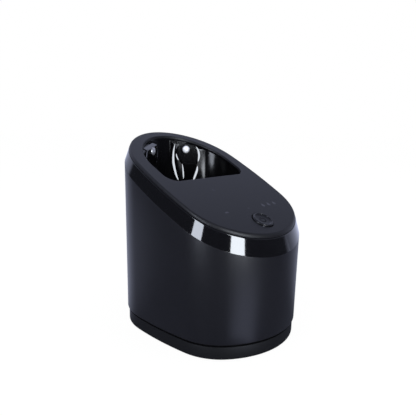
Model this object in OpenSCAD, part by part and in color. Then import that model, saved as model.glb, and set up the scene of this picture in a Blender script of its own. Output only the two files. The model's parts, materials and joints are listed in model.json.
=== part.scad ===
// Shaver cleaning station: an oval tower with a slanted top, a pocket that the
// shaver's head stands in, a start button, and a housing that rises on two
// sprung columns so that the fluid cartridge slides out at the back.
// Millimetres. The front faces -Y, the feet stand on z = 0.

/* [Body outline] */
// Length of the body from front to back
body_l = 150; // [136:1:170]
// Width of the body
body_w = 119; // [108:1:128]
// How much larger the front end's radius is than half the width
front_flat = 8.5; // [4:0.5:20]
// How much larger the rear end's radius is than half the width
rear_flat = 3; // [2:0.5:12]
// Radius where the front end turns into the sides
front_corner_r = 43; // [36:1:50]
// Radius where the rear end turns into the sides
rear_corner_r = 52; // [44:1:55]
// Radius of the long sides
side_r = 278; // [200:1:400]
// Wall thickness of the housing
wall = 2.4; // [1.8:0.1:3]
// How far the housing draws in towards its foot
draft = 0.9; // [0:0.1:1.4]

/* [Slanted top] */
// Slope of the top, in degrees
top_angle = 25.4; // [20:0.2:28]
// Height of the trim band's lower edge at the middle of the body
band_mid_h = 111.6; // [108:0.2:120]
// Height of the trim band, measured straight up
band_h = 10.8; // [8:0.2:13]
// How far the trim band leans in from its lower to its upper edge
band_lean = 3.4; // [2:0.1:5]
// Thickness of the trim band at its lower edge
band_t = 6.2; // [5.4:0.1:7]
// How far the trim band reaches down inside the housing
band_skirt = 3; // [2:0.5:5]
// Thickness of the top panel, measured straight up
panel_t = 3; // [2.4:0.1:4]
// How far the top panel's edge rounds in towards its face
panel_edge = 1.7; // [1:0.1:2.4]

/* [Base] */
// How far the rubber feet stand out
foot_h = 0.8; // [0.5:0.1:2]
// Radius of the rubber feet
foot_r = 6; // [4:0.5:8]
// How deep the feet sit in the base
foot_seat = 0.8; // [0.4:0.1:1.2]
// Height of the base's outer lip
lip_h = 10.4; // [9:0.2:12]
// How far the base stands in from the body's outline
lip_inset = 2.1; // [1.5:0.1:3]
// Height of the shadow gap between the base and the housing
gap_h = 1.5; // [1:0.1:2]
// Thickness of the base's floor
floor_t = 2.2; // [2:0.1:3]
// Length of the cartridge's end that closes the base at the rear
lip_end_y = 34; // [31:0.5:37]

/* [Lift columns] */
// How far the housing rises
lift = 46; // [40:1:50]
// Radius of the guide posts
post_r = 4.5; // [4:0.1:4.8]
// Height of the guide posts' tops
post_top = 93; // [88:0.5:95]
// Distance of each guide post from the body's side
post_x = 10.9; // [10.5:0.1:11.5]
// Place of the guide posts along the body
post_y = -18; // [-20:0.5:-14]
// Wall thickness of the sleeves on the posts
sleeve_wall = 1.9; // [1.5:0.1:2]
// Radial running clearance of every sliding or turning fit
run_fit = 0.05; // [0.02:0.01:0.1]
// Wire size of the lift springs
spring_wire = 0.7; // [0.5:0.1:0.8]
// Number of curls in each lift spring
spring_curls = 20; // [12:1:30]

/* [Cartridge] */
// Width of the fluid cartridge
cart_w = 81; // [74:0.5:82]
// Distance of the cartridge's front end from the body's front
cart_front_y = 17; // [13:0.5:23]
// Height of the cartridge's tank
tank_h = 41.4; // [36:0.2:42]
// Thickness of the cartridge's lid
lid_t = 3.6; // [3:0.2:4]
// Wall thickness of the cartridge
tank_wall = 1.2; // [1:0.1:2]

/* [Pocket] */
// Width of the pocket's mouth
pocket_w = 86; // [80:0.5:90]
// Length of the pocket's mouth
pocket_l = 63.5; // [60:0.5:65]
// Distance of the mouth's straight front edge from the body's rear
pocket_front_y = 75.5; // [74:0.1:78]
// Radius of the mouth's front corners
pocket_corner_r = 10; // [7:0.5:12]
// Wall thickness of the pocket's insert
bowl_wall = 2; // [1.5:0.1:2.4]
// Width of the drain spout's bore
drain_d = 7.6; // [6:0.2:9]

/* [Charging contacts] */
// Distance of each contact from the middle of the body
contact_x = 19.4; // [17:0.1:21]
// Distance of the contacts from the body's rear
contact_y = 22.6; // [22:0.1:24]
// Height of the contacts
contact_z = 143.5; // [138:0.5:145]
// Angle that the contacts turn in towards the middle, in degrees
contact_turn = 26.5; // [20:0.5:32]
// Radius of the contacts
contact_r = 3.2; // [2.4:0.1:3.6]
// How far the contacts stand out of their pads
contact_rise = 1.7; // [1.5:0.1:2.2]
// Travel of the contacts
contact_travel = 1.5; // [1:0.1:1.5]
// Radius of the round pads that the contacts stand in
pad_r = 8; // [6.5:0.1:8.5]
// Thickness of the pads
pad_t = 1; // [0.6:0.1:1.4]

/* [Start button] */
// Diameter of the start button
button_d = 16.4; // [13:0.1:18]
// Distance of the start button's middle from the body's front
button_y = 19; // [17:0.5:23]
// How far the start button stands out of the panel
button_rise = 0.9; // [0.6:0.1:1.6]
// Travel of the start button
button_travel = 0.8; // [0.5:0.1:1]
// Gap round the buttons
button_gap = 0.35; // [0.3:0.05:0.5]

/* [Lift button and latch] */
// Width of the lift button on the back
lift_button_w = 26; // [20:0.5:30]
// Height of the lift button
lift_button_h = 11; // [9:0.5:13]
// Height of the lift button's middle over the chassis
lift_button_z = 24.6; // [23.6:0.1:26.6]
// Travel of the lift button
lift_button_travel = 2.5; // [2:0.1:3]
// Height of the latch lever's pivot over the chassis
latch_z = 14.6; // [13.6:0.1:15.6]
// Distance of the latch lever's pivot from the body's rear
latch_y = 9; // [8.5:0.1:9.5]
// Width of the latch lever
latch_w = 16; // [12:0.5:18]
// Radius of the latch lever's pin
latch_pin_r = 1.5; // [1:0.1:1.8]

/* [Drive] */
// Distance of the motor's shaft from the pocket's mouth
shaft_y = 29.5; // [28.5:0.1:31]
// Radius of the motor's shaft
shaft_r = 1.2; // [1:0.05:1.5]
// Radius of the motor's can
motor_r = 13; // [11:0.5:14]
// Height of the motor's can
motor_h = 15; // [12:0.5:19]
// Radius of the fan wheel
fan_r = 18; // [16:0.5:18.5]
// Number of blades on the fan wheel
fan_blades = 15; // [8:1:20]
// Number of vanes on the pump wheel
pump_vanes = 6; // [4:1:8]

/* [Power inlet] */
// Distance of the power inlet from the middle of the body
inlet_x = 22; // [20:0.5:24]
// Height of the power inlet's middle over the chassis
inlet_z = 10.6; // [9.6:0.1:11.6]
// Width of the power inlet's recess
inlet_w = 15; // [13:0.5:16]
// Height of the power inlet's recess
inlet_h = 9; // [8:0.5:10]
// Depth of the power inlet's recess
inlet_depth = 12; // [10:0.5:13]

/* [Hidden] */
$fn = 48;
eps = 0.01;
big = 400;
through = 60;           // longer than any bore or slot that it cuts

// Clearances between pieces
slide_gap = 0.4;       // between pieces of different bodies
seat_gap = 0.2;        // round a piece that drops into a seat

// Body outline
half_w = body_w / 2;
half_l = body_l / 2;
outline_steps = 96;
slope = tan(top_angle);

// Places along and across the body, each measured from the nearer end or side
lip_end = half_l - lip_end_y;
post_at_x = half_w - post_x;
cart_front = cart_front_y - half_l;
pocket_front = half_l - pocket_front_y;
pocket_rear = pocket_front + pocket_l;
contact_at = half_l - contact_y;
groove_at = half_l - 18.5;   // where the groove between the angled flats ends
button_at = button_y - half_l;
icon_at = button_at + 14.2;
board_at = button_at + 6;
shaft_at = pocket_front - shaft_y;
latch_at = half_l - latch_y;
hook_post_at = latch_at - 10;
bridge_at = lip_end + 1.5;
drain_at = pocket_front + 27.5;
fill_at = pocket_front + 20.5;

// Levels of the base
base_z = foot_h;
floor_z = base_z + floor_t;
lip_z = base_z + lip_h;
housing_z = lip_z + gap_h;
tongue_t = 1.6;
tongue_gap = 1;
tongue_z = housing_z + 1.4;
chamfer = 0.9;

// Levels of the cartridge
tank_z = floor_z + seat_gap;
lid_z = tank_z + tank_h;
lid_top = lid_z + lid_t;
grip_gap = 0.3;

// Levels of the chassis
chassis_t = 2.4;
chassis_gap = 8.8;      // room for the pump between the cartridge and the chassis
chassis_z = lid_top + chassis_gap;
chassis_top = chassis_z + chassis_t;

// Heights at the back, all measured from the chassis
lift_button_h_mid = chassis_top + lift_button_z;
latch_h = chassis_top + latch_z;
inlet_h_mid = chassis_top + inlet_z;
vent_h_mid = chassis_top + 10.1;

// Lift columns
sleeve_in = post_r + run_fit;
sleeve_out = sleeve_in + sleeve_wall;
sleeve_z = tongue_z + 0.9;
sleeve_cap = 2;
post_foot_r = post_r + 0.7;
post_foot_t = 2;
post_bore_r = 3.2;
post_plug = 9;          // solid foot of a post, which the screw holds
screw_r = 1.5;
screw_head_r = 2.9;
screw_head_t = 1.1;
screw_key_r = 1.2;
screw_grip = 5.5;       // how far a screw reaches into its post
spring_r = post_bore_r - 0.3 - spring_wire / 2;
spring_gap = 0.2;
spring_z = floor_z + post_plug;
spring_top = post_top + 1.5;

// Pocket
pocket_half = pocket_w / 2;
bowl_bottom = chassis_top;
bowl_floor = bowl_bottom + bowl_wall;
drain_z = lid_top - 2;
drain_seat = 3;         // gap between the drain spout and the lid's return hole
flange_w = 2.5;
flange_t = 1.6;
groove_x = 11;          // half the width of that groove

// Fan and pump
fan_gap = 1.2;
fan_hub_r = 4;
fan_h = 6;
fan_z = chassis_top + motor_h + 1;
fan_wall = 1.5;
fan_top = fan_z + fan_h + 1.2;
duct_w = 12;
duct_h = 5;
duct_z = fan_z + 1;
pump_r = 11;
pump_wall = 1.8;
pump_gap = 1.6;         // between the cartridge's lid and the pump
pump_z = lid_top + pump_gap;
pump_wheel_r = pump_r - 1;
pump_wheel_t = 3;
tube_r = 3;
tube_bore_r = 2;
intake_z = tank_z + 10;
notch_w = 1.6;
notch_h = 3;
fill_r = 2.4;
fill_bore_r = 1.5;
fill_x = 8;
fill_z = (pump_z + chassis_z) / 2;
outlet_r = fill_r + 0.6;

// Slant frame: everything on the slanted top is placed by these
panel_z0 = band_mid_h + band_h;
panel_top0 = panel_z0 + panel_t;
board_drop = 10;        // from the panel's face to the board, square to the slope
board_t = 1.6;
board_w = 66;
board_l = 24;
board_post_r = 2;
board_posts = [[-29, -7], [29, -7], [-29, 3], [29, 3]];
switch_h = 3.2;
guide_w = 66;
guide_l = 3.4;

// Latch
catch_gap = 0.4;
hook_post_w = 10;
hook_post_t = 2.6;
catch_nose = 2;
catch_h = 3.4;
catch_top = chassis_top + 8;
hook_t = 3;
bridge_t = 3;
bridge_l = 4.5;
bridge_leg = 2.6;
bridge_z = lid_top + pump_gap / 2 + 0.8;
latch_ear = 2.5;
latch_arm = 3.2;
latch_hub_r = 3.2;
stem_r = 2;
lift_corner_r = 3;

// ---------------------------------------------------------------- outline

// Centre of the arc that joins an end arc of radius e to a side arc of radius s
function corner_centre(e, c) =
    let (
        end_c = [0, half_l - e],
        side_c = [half_w - side_r, 0],
        d = side_c - end_c,
        len = norm(d),
        p = e - c,
        q = side_r - c,
        t = (len * len + p * p - q * q) / (2 * len),
        h = sqrt(max(p * p - t * t, 0)),
        u = d / len,
        n = [-u.y, u.x],
        a = end_c + u * t + n * h,
        b = end_c + u * t - n * h
    ) a.y > b.y ? a : b;

// Outline point whose normal stands at angle t from the end's own axis (0 to 90)
function outline_quarter(t, e, c, inset) =
    let (
        cc = corner_centre(e, c),
        end_c = [0, half_l - e],
        side_c = [half_w - side_r, 0],
        t1 = atan2(cc.x - end_c.x, cc.y - end_c.y),
        t2 = atan2(cc.x - side_c.x, cc.y - side_c.y),
        n = [sin(t), cos(t)]
    )
    t <= t1 ? end_c + n * (e - inset)
    : t <= t2 ? cc + n * (c - inset)
    : side_c + n * (side_r - inset);

// The body's outline, drawn in by inset, anticlockwise from +X
function outline(inset = 0) = [
    for (i = [0 : outline_steps - 1])
    let (
        a = i * 360 / outline_steps,
        rear = sin(a) >= 0,
        t = acos(abs(sin(a))),
        q = outline_quarter(t, half_w + (rear ? rear_flat : front_flat),
            rear ? rear_corner_r : front_corner_r, inset)
    )
    [q.x * (cos(a) > 0 ? 1 : -1), q.y * (rear ? 1 : -1)]
];

// The pocket's D: a straight front edge, round front corners and a round rear
function dee(half, front, rear, r) = concat(
    [for (a = [-90 : 15 : 0]) [half - r + r * cos(a), front + r + r * sin(a)]],
    [for (a = [0 : 6 : 180]) [half * cos(a), max(rear - half, front + r) + half * sin(a)
        * min(1, (rear - front - r) / half)]],
    [for (a = [180 : 15 : 270]) [-half + r + r * cos(a), front + r + r * sin(a)]]
);

function rounded(w, l, r, y0 = 0) = [
    for (c = [[1, 1, 0], [-1, 1, 90], [-1, -1, 180], [1, -1, 270]])
    for (a = [c.z : 15 : c.z + 90])
    [c.x * (w / 2 - r) + r * cos(a), y0 + c.y * (l / 2 - r) + r * sin(a)]
];

// ---------------------------------------------------------------- lofts

function slant(y) = band_mid_h + slope * y;
function slant_ring(inset, dz) = [for (p = outline(inset)) [p.x, p.y, slant(p.y) + dz]];
function flat_ring(pts, z) = [for (p = pts) [p.x, p.y, z]];

function strip(n, j, k) = [
    for (i = [0 : n - 1])
    let (a = (i + 1) % n)
    each [[j * n + i, k * n + i, k * n + a], [j * n + i, k * n + a, j * n + a]]
];

// A solid through a stack of rings, from the lowest to the highest
module stack(rings) {
    n = len(rings[0]);
    m = len(rings);
    polyhedron(
        points = [for (r = rings) each r],
        faces = concat(
            [[for (i = [0 : n - 1]) i]],
            [for (j = [0 : m - 2]) each strip(n, j, j + 1)],
            [[for (i = [0 : n - 1]) m * n - 1 - i]]
        ),
        convexity = 8
    );
}

// A closed band through rings that go up outside and down inside
module band(rings) {
    n = len(rings[0]);
    m = len(rings);
    polyhedron(
        points = [for (r = rings) each r],
        faces = [for (j = [0 : m - 1]) each strip(n, j, (j + 1) % m)],
        convexity = 8
    );
}

module prism(pts, z0, z1) {
    translate([0, 0, z0]) linear_extrude(height = z1 - z0) polygon(pts);
}

module oval(inset, z0, z1) {
    prism(outline(inset), z0, z1);
}

// Everything above the slanted plane that lies dz over the band's lower edge
module above_slant(dz) {
    translate([0, 0, band_mid_h + dz])
        rotate([top_angle, 0, 0])
            translate([-big / 2, -big / 2, 0])
                cube([big, big, big / 2]);
}

// Children drawn on the panel's face at the place y along the body
module on_panel(y) {
    translate([0, y, panel_top0 + slope * y])
        rotate([top_angle, 0, 0])
            children();
}

module tube(r_out, r_in, z0, z1) {
    difference() {
        translate([0, 0, z0]) cylinder(r = r_out, h = z1 - z0);
        translate([0, 0, z0 - eps]) cylinder(r = r_in, h = z1 - z0 + 2 * eps);
    }
}

module mirrored() {
    children();
    mirror([1, 0, 0]) children();
}

module at_posts() {
    for (s = [-1, 1]) translate([s * post_at_x, post_y, 0]) children();
}

// ---------------------------------------------------------------- base

foot_x = half_w - 21.5;
foot_y = half_l - 31;
foot_places = [[foot_x, foot_y], [foot_x, -foot_y], [-foot_x, foot_y], [-foot_x, -foot_y]];

module base_tray() {
    color("#1d1f24")
    difference() {
        union() {
            difference() {
                stack([
                    flat_ring(outline(lip_inset + chamfer), base_z),
                    flat_ring(outline(lip_inset), base_z + chamfer),
                    flat_ring(outline(lip_inset), lip_z - chamfer / 2),
                    flat_ring(outline(lip_inset + chamfer / 2), lip_z)
                ]);
                oval(lip_inset + wall, floor_z, lip_z + 1);
            }
            difference() {
                oval(wall + tongue_gap, floor_z - eps, tongue_z);
                oval(wall + tongue_gap + tongue_t, floor_z, tongue_z + 1);
            }
        }
        // the lip ends where the cartridge's end begins
        translate([-half_w, lip_end, floor_z]) cube([body_w, half_l, lip_h * 2]);
        for (p = foot_places)
            translate([p.x, p.y, base_z - 1]) cylinder(r = foot_r + seat_gap / 2, h = foot_seat + 1);
        at_posts() {
            translate([0, 0, base_z - eps]) cylinder(r = screw_head_r + 0.3, h = screw_head_t + 0.1);
            cylinder(r = screw_r + 0.1, h = floor_z + 1);
        }
    }
}

module feet() {
    color("#101114")
    for (p = foot_places)
        translate([p.x, p.y, 0]) {
            cylinder(r = foot_r, h = foot_h + foot_seat);
        }
}

module post_screws() {
    color("silver")
    at_posts() {
        difference() {
            translate([0, 0, base_z + 0.1]) cylinder(r = screw_head_r, h = screw_head_t - eps);
            translate([0, 0, base_z]) cylinder(r = screw_key_r, h = 0.8, $fn = 6);
        }
        translate([0, 0, base_z + 1]) cylinder(r = screw_r, h = floor_t + screw_grip - 1);
    }
}

module guide_posts() {
    color("#3a3c42")
    at_posts()
    difference() {
        union() {
            translate([0, 0, floor_z]) cylinder(r = post_foot_r, h = post_foot_t);
            translate([0, 0, floor_z]) cylinder(r = post_r, h = post_top - floor_z);
        }
        translate([0, 0, spring_z]) cylinder(r = post_bore_r, h = post_top);
        translate([0, 0, floor_z - eps]) cylinder(r = screw_r, h = screw_grip + 0.5);
    }
}

// Points of a compression spring's centre line
spring_rings = 8;
function spring_point(t, pitch) = [spring_r * cos(t), spring_r * sin(t), pitch * t / 360];

module spring() {
    lo = spring_z + spring_wire / 2 + spring_gap;
    hi = spring_top - spring_wire / 2 - spring_gap;
    pitch = (hi - lo) / spring_curls;
    steps = spring_curls * spring_rings;
    climb = atan2(pitch, 2 * PI * spring_r);
    sides = 6;
    pts = [
        for (i = [0 : steps])
        let (
            t = i * 360 / spring_rings,
            c = spring_point(t, pitch),
            out = [cos(t), sin(t), 0],
            up = [sin(t) * sin(climb), -cos(t) * sin(climb), cos(climb)]
        )
        for (k = [0 : sides - 1])
        c + out * spring_wire / 2 * cos(k * 60) + up * spring_wire / 2 * sin(k * 60)
    ];
    echo(spring_gap_between_curls = pitch * cos(climb) - spring_wire);
    translate([0, 0, lo])
        polyhedron(
            points = pts,
            faces = concat(
                [[for (k = [0 : sides - 1]) sides - 1 - k]],
                [for (i = [0 : steps - 1]) for (k = [0 : sides - 1])
                    let (a = (k + 1) % sides, p = i * sides, q = p + sides)
                    each [[p + k, p + a, q + a], [p + k, q + a, q + k]]],
                [[for (k = [0 : sides - 1]) steps * sides + k]]
            ),
            convexity = 10
        );
}

module lift_springs() {
    color("silver") at_posts() spring();
}

// A portal over the cartridge that carries the catch
module latch_bridge() {
    color("#4a4d54") {
        mirrored()
            translate([cart_w / 2 + slide_gap, bridge_at, floor_z])
                cube([bridge_leg, bridge_l, bridge_z + bridge_t - floor_z]);
        translate([-cart_w / 2 - slide_gap - eps, bridge_at, bridge_z])
            cube([cart_w + 2 * slide_gap + 2 * eps, bridge_l, bridge_t]);
        translate([-hook_post_w / 2, bridge_at, bridge_z])
            cube([hook_post_w, hook_post_at + hook_post_t - bridge_at, bridge_t]);
        translate([-hook_post_w / 2, hook_post_at, bridge_z])
            cube([hook_post_w, hook_post_t, catch_top - bridge_z]);
        // catch nose with a slanted top
        translate([-hook_post_w / 2, hook_post_at + hook_post_t, catch_top - catch_h])
            rotate([90, 0, 90])
                linear_extrude(height = hook_post_w)
                    polygon([[-eps, 0], [catch_nose, 0], [catch_nose, 0.8], [0, catch_h], [-eps, catch_h]]);
    }
}

// ---------------------------------------------------------------- cartridge

cart_rear_inset = wall + slide_gap + 1.2;
cart_corner = 14;

module cart_plan(d) {
    intersection() {
        polygon(rounded(cart_w - 2 * d, 2 * (half_l - cart_front) - 2 * d, cart_corner - d,
            half_l));
        polygon(outline(cart_rear_inset + d));
        translate([-half_w, cart_front + d]) square([body_w, body_l]);
    }
}

module cartridge_tank() {
    color("#5c6f86")
    difference() {
        union() {
            translate([0, 0, tank_z]) linear_extrude(height = tank_h) cart_plan(0);
            // the end that closes the base's outline
            difference() {
                intersection() {
                    stack([
                        flat_ring(outline(lip_inset), tank_z),
                        flat_ring(outline(lip_inset), lip_z - chamfer / 2),
                        flat_ring(outline(lip_inset + chamfer / 2), lip_z)
                    ]);
                    translate([-half_w, lip_end + grip_gap, 0]) cube([body_w, half_l, lip_z + 1]);
                }
                translate([0, 0, tank_z - 1]) linear_extrude(height = tank_h) cart_plan(tank_wall / 2);
                // slots that pass the legs of the latch bridge
                mirrored()
                    translate([cart_w / 2 - eps, lip_end - 1, tank_z - 1])
                        cube([bridge_leg + 2 * slide_gap, bridge_at + bridge_l + slide_gap - lip_end + 1,
                            lip_h + 2]);
            }
        }
        translate([0, 0, tank_z + tank_wall])
            linear_extrude(height = tank_h) cart_plan(tank_wall);
    }
}

module cartridge_lid() {
    rim = 2;
    color("#39434f")
    difference() {
        union() {
            translate([0, 0, lid_z]) linear_extrude(height = lid_t) cart_plan(0);
            difference() {
                translate([0, 0, lid_z - rim])
                    linear_extrude(height = rim + eps) cart_plan(tank_wall + seat_gap);
                translate([0, 0, lid_z - rim - 1])
                    linear_extrude(height = rim + 2) cart_plan(tank_wall + seat_gap + 1.2);
            }
        }
        // stepped seats for the two seals
        for (s = seal_places)
            translate([0, s[0], 0]) {
                translate([0, 0, lid_top - seal_t]) cylinder(r = s[2], h = seal_t + 1);
                translate([0, 0, lid_z - 1]) cylinder(r = s[2] - 1, h = lid_t + 2);
            }
    }
}

// place along the body, bore radius and outer radius of each seal
seal_t = 1.6;
seal_places = [
    [shaft_at, tube_r + slide_gap, tube_r + slide_gap + 2.4],
    [drain_at, drain_d / 2 + bowl_wall / 2 + slide_gap, drain_d / 2 + bowl_wall / 2 + drain_seat]
];

module lid_seals() {
    color("#2b2b2e")
    for (s = seal_places)
        translate([0, s[0], 0]) tube(s[2], s[1], lid_top - seal_t, lid_top);
}

module cartridge_filter() {
    filter_w = 46;
    filter_l = 34;
    filter_t = 14;
    color("#c9c6b8")
        prism(rounded(filter_w, filter_l, 4, drain_at), tank_z + tank_wall, tank_z + tank_wall + filter_t);
}

// ---------------------------------------------------------------- housing

vent_x = -26;
vent_w = 2;
vent_pitch = 4;
vent_count = 6;
vent_h = 14;

module housing_shell() {
    color("#23242b")
    difference() {
        stack([
            flat_ring(outline(draft + chamfer / 2), housing_z),
            flat_ring(outline(draft), housing_z + chamfer / 2),
            slant_ring(0, 0)
        ]);
        oval(wall, housing_z - 1, slant(half_l) + band_h);
        // lift button
        translate([0, half_l, lift_button_h_mid])
            rotate([90, 0, 0])
                linear_extrude(height = 20, center = true)
                    polygon(rounded(lift_button_w + 2 * button_gap, lift_button_h + 2 * button_gap,
                        lift_corner_r + button_gap));
        // power inlet
        translate([inlet_x, half_l, inlet_h_mid])
            rotate([90, 0, 0])
                linear_extrude(height = 30, center = true)
                    polygon(rounded(inlet_w + 2 * inlet_wall, inlet_h + 2 * inlet_wall, 3 + inlet_wall));
        // air slots
        for (i = [0 : vent_count - 1])
            translate([vent_x + (i - (vent_count - 1) / 2) * vent_pitch, half_l, vent_h_mid])
                rotate([90, 0, 0])
                    linear_extrude(height = 40, center = true)
                        polygon(rounded(vent_w, vent_h, vent_w / 2 - eps));
    }
}

module chassis() {
    color("#33353c")
    difference() {
        union() {
            oval(wall, chassis_z, chassis_top);
            at_posts() translate([0, 0, sleeve_z]) cylinder(r = sleeve_out,
                h = spring_top + sleeve_cap - sleeve_z);
            // ears for the latch lever's pin
            mirrored()
                translate([latch_w / 2 + slide_gap, latch_at - latch_hub_r - 1, chassis_top - eps])
                    cube([latch_ear, 2 * latch_hub_r + 2, latch_h + latch_hub_r - chassis_top]);
        }
        at_posts() translate([0, 0, sleeve_z - 1]) cylinder(r = sleeve_in, h = spring_top - sleeve_z + 1);
        translate([-20, latch_at, latch_h]) rotate([0, 90, 0]) cylinder(r = latch_pin_r, h = 40);
        // slot for the catch
        translate([-hook_post_w / 2 - 1, hook_post_at - 1, chassis_z - 1])
            cube([hook_post_w + 2, hook_post_t + catch_nose + 9, chassis_t + 2]);
        translate([0, drain_at, chassis_z - 1])
            cylinder(r = drain_d / 2 + bowl_wall / 2, h = chassis_t + 2);
        translate([0, shaft_at, chassis_z - 1]) cylinder(r = shaft_r + 0.6, h = chassis_t + 2);
        translate([fill_x, fill_at, chassis_z - 1]) cylinder(r = fill_r, h = chassis_t + 2);
        // weight and air cut-outs either side of the motor
        mirrored()
            translate([0, 0, chassis_z - 1])
                linear_extrude(height = chassis_t + 2)
                    translate([half_w - 32.5, shaft_at - 8]) polygon(rounded(7, 22, 3.4));
    }
}

module trim_band() {
    edge = 0.45;
    color("#08080b")
    band([
        slant_ring(edge, 0),
        slant_ring(0, edge),
        slant_ring(band_lean - edge / 2, band_h - edge),
        slant_ring(band_lean + edge / 2, band_h),
        slant_ring(band_t, band_h),
        slant_ring(band_t, -band_skirt),
        slant_ring(wall, -band_skirt),
        slant_ring(wall, 0)
    ]);
}

module pocket_plan(d = 0) {
    polygon(dee(pocket_half + d, pocket_front - d, pocket_rear + d, pocket_corner_r + d));
}

module top_panel() {
    groove = 0.5;           // gap between the band's upper edge and the panel
    foot = 0.4;
    side = 0.8;             // height of the panel's upright side, below its round edge
    color("#383a46")
    difference() {
        union() {
            stack(concat(
                [slant_ring(band_lean + groove + foot, band_h),
                 slant_ring(band_lean + groove, band_h + foot)],
                [for (t = [0 : 15 : 90])
                    slant_ring(band_lean + groove + panel_edge * (1 - cos(t)),
                        band_h + side + (panel_t - side) * sin(t))]
            ));
            // posts that carry the board
            on_panel(board_at)
                for (p = board_posts)
                    translate([p.x, p.y, -board_drop])
                        cylinder(r = board_post_r, h = board_drop - panel_t / 2);
        }
        translate([0, 0, panel_z0 - half_l]) linear_extrude(height = big) pocket_plan();
        on_panel(button_at) {
            translate([0, 0, -panel_t - 1]) cylinder(d = button_d + 2 * button_gap, h = panel_t + 2);
            translate([0, 0, -0.5]) cylinder(d1 = button_d + 2 * button_gap,
                d2 = button_d + 2 * button_gap + 1.2, h = 0.6);
        }
    }
}

// Levels of the pocket, from its floor up: height, how far it draws in all
// round, how far its rear draws in further
pocket_levels = [
    [bowl_floor, 27, 4],
    [bowl_floor + 1.5, 22, 5],
    [bowl_floor + 6, 15, 6],
    [bowl_floor + 13, 8, 5],
    [bowl_floor + 21, 3, 4],
    [bowl_floor + 32, 0.8, 1],
    [bowl_floor + 44, 0, 0],
    [slant(half_l) + band_h + 5, 0, 0]
];

function pocket_ring(lv, d) =
    let (
        // the front wall stays upright above the basin
        front = pocket_front + max(lv[1] - 8, 0) * 0.75 - d,
        rear = pocket_rear - lv[1] - lv[2] + d,
        half = pocket_half - lv[1] + d,
        r = min(pocket_corner_r + d, half * 0.6)
    )
    flat_ring(dee(half, front, rear, r), lv[0]);

// The pocket's hollow, or with a wall thickness d the body that it is cut from
module pocket_solid(d) {
    floor_ring = pocket_levels[0];
    stack([
        for (lv = pocket_levels)
        pocket_ring(lv == floor_ring ? [lv[0] - d, lv[1], lv[2]] : lv, d)
    ]);
}

// Frame of the right contact: origin on its axis at the pad's face, +Z into the pocket
module at_contact() {
    translate([contact_x, contact_at, contact_z])
        rotate([0, 0, -contact_turn])
            rotate([90, 0, 0])
                children();
}

module pad_block() {
    reach = 26;
    difference() {
        intersection() {
            pocket_solid(bowl_wall);
            translate([0, 0, bowl_floor + 30])
                linear_extrude(height = big)
                    polygon([[groove_x, groove_at], [groove_x + reach, groove_at - reach * tan(contact_turn)],
                        [groove_x + reach + 12, half_l], [groove_x, half_l]]);
        }
        above_slant(band_h - 3.6);
    }
    // keyhole pad round the contact
    intersection() {
        at_contact() translate([0, 0, -3]) {
            cylinder(r = pad_r, h = 3 + pad_face + pad_t);
            translate([-pad_r / 2, -38, 0]) cube([pad_r, 38, 3 + pad_face + pad_t]);
        }
        pocket_solid(bowl_wall);
    }
}

// how far the flat beside the groove lies in front of the contact frame's origin
pad_face = [groove_x - contact_x, groove_at - contact_at] * [-sin(contact_turn), -cos(contact_turn)];

module cradle_bowl() {
    color("#0d0d11")
    difference() {
        union() {
            difference() {
                union() {
                    pocket_solid(bowl_wall);
                    intersection() {
                        translate([0, 0, band_mid_h - half_l]) linear_extrude(height = big)
                            pocket_plan(bowl_wall + flange_w);
                        above_slant(band_h - flange_t);
                    }
                }
                pocket_solid(0);
            }
            pad_block();
            mirror([1, 0, 0]) pad_block();
            // drain spout
            translate([0, drain_at, drain_z]) cylinder(r = drain_d / 2 + bowl_wall / 2,
                h = bowl_floor - drain_z - eps);
        }
        above_slant(band_h);
        translate([0, drain_at, drain_z - 1]) cylinder(d = drain_d, h = bowl_floor - drain_z + 2);
        translate([fill_x, fill_at, bowl_bottom - 1]) cylinder(r = fill_bore_r, h = 12);
        // air inlet from the fan
        translate([-duct_w / 2, pocket_front - bowl_wall - 8, duct_z])
            cube([duct_w, bowl_wall + 20, duct_h]);
        at_contact() contact_bore();
        mirror([1, 0, 0]) at_contact() contact_bore();
    }
}

// ---------------------------------------------------------------- contacts

contact_tail = 7;
contact_tail_r = 1.4;

module contact_bore() {
    front = pad_face + pad_t;
    translate([0, 0, front - 3.6 - contact_travel - slide_gap])
        cylinder(r = contact_r + run_fit, h = 20);
    translate([0, 0, front - 30]) cylinder(r = contact_tail_r + slide_gap, h = 31);
}

module contact() {
    front = pad_face + pad_t;
    dome = contact_rise * 0.75;
    dome_r = (contact_r * contact_r + dome * dome) / (2 * dome);
    translate([0, 0, front - 3.6]) cylinder(r = contact_r, h = 3.6 + contact_rise - dome);
    intersection() {
        translate([0, 0, front + contact_rise - dome_r]) sphere(r = dome_r);
        translate([0, 0, front + contact_rise - dome - eps]) cylinder(r = contact_r, h = dome + 1);
    }
    translate([0, 0, front - 3.6 - contact_tail]) cylinder(r = contact_tail_r, h = contact_tail + eps);
}

module contact_right() {
    color("#d8d8d4") at_contact() contact();
}

module contact_left() {
    color("#d8d8d4") mirror([1, 0, 0]) at_contact() contact();
}

// ---------------------------------------------------------------- electronics

module control_board() {
    color("#1f5a3a")
    on_panel(board_at)
        translate([0, 0, -board_drop]) {
            translate([0, 0, -board_t]) prism(rounded(board_w, board_l, 2), 0, board_t);
        }
    color("#2a2a2e")
    on_panel(button_at)
        translate([-3, -3, -board_drop - eps]) cube([6, 6, switch_h]);
}

module light_guide() {
    color("#dfe6ea")
    on_panel(icon_at)
        translate([-guide_w / 2, -guide_l / 2, -board_drop])
            cube([guide_w, guide_l, board_drop - panel_t * cos(top_angle)]);
}

// ---------------------------------------------------------------- drive

module at_shaft() {
    translate([0, shaft_at, 0]) children();
}

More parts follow.
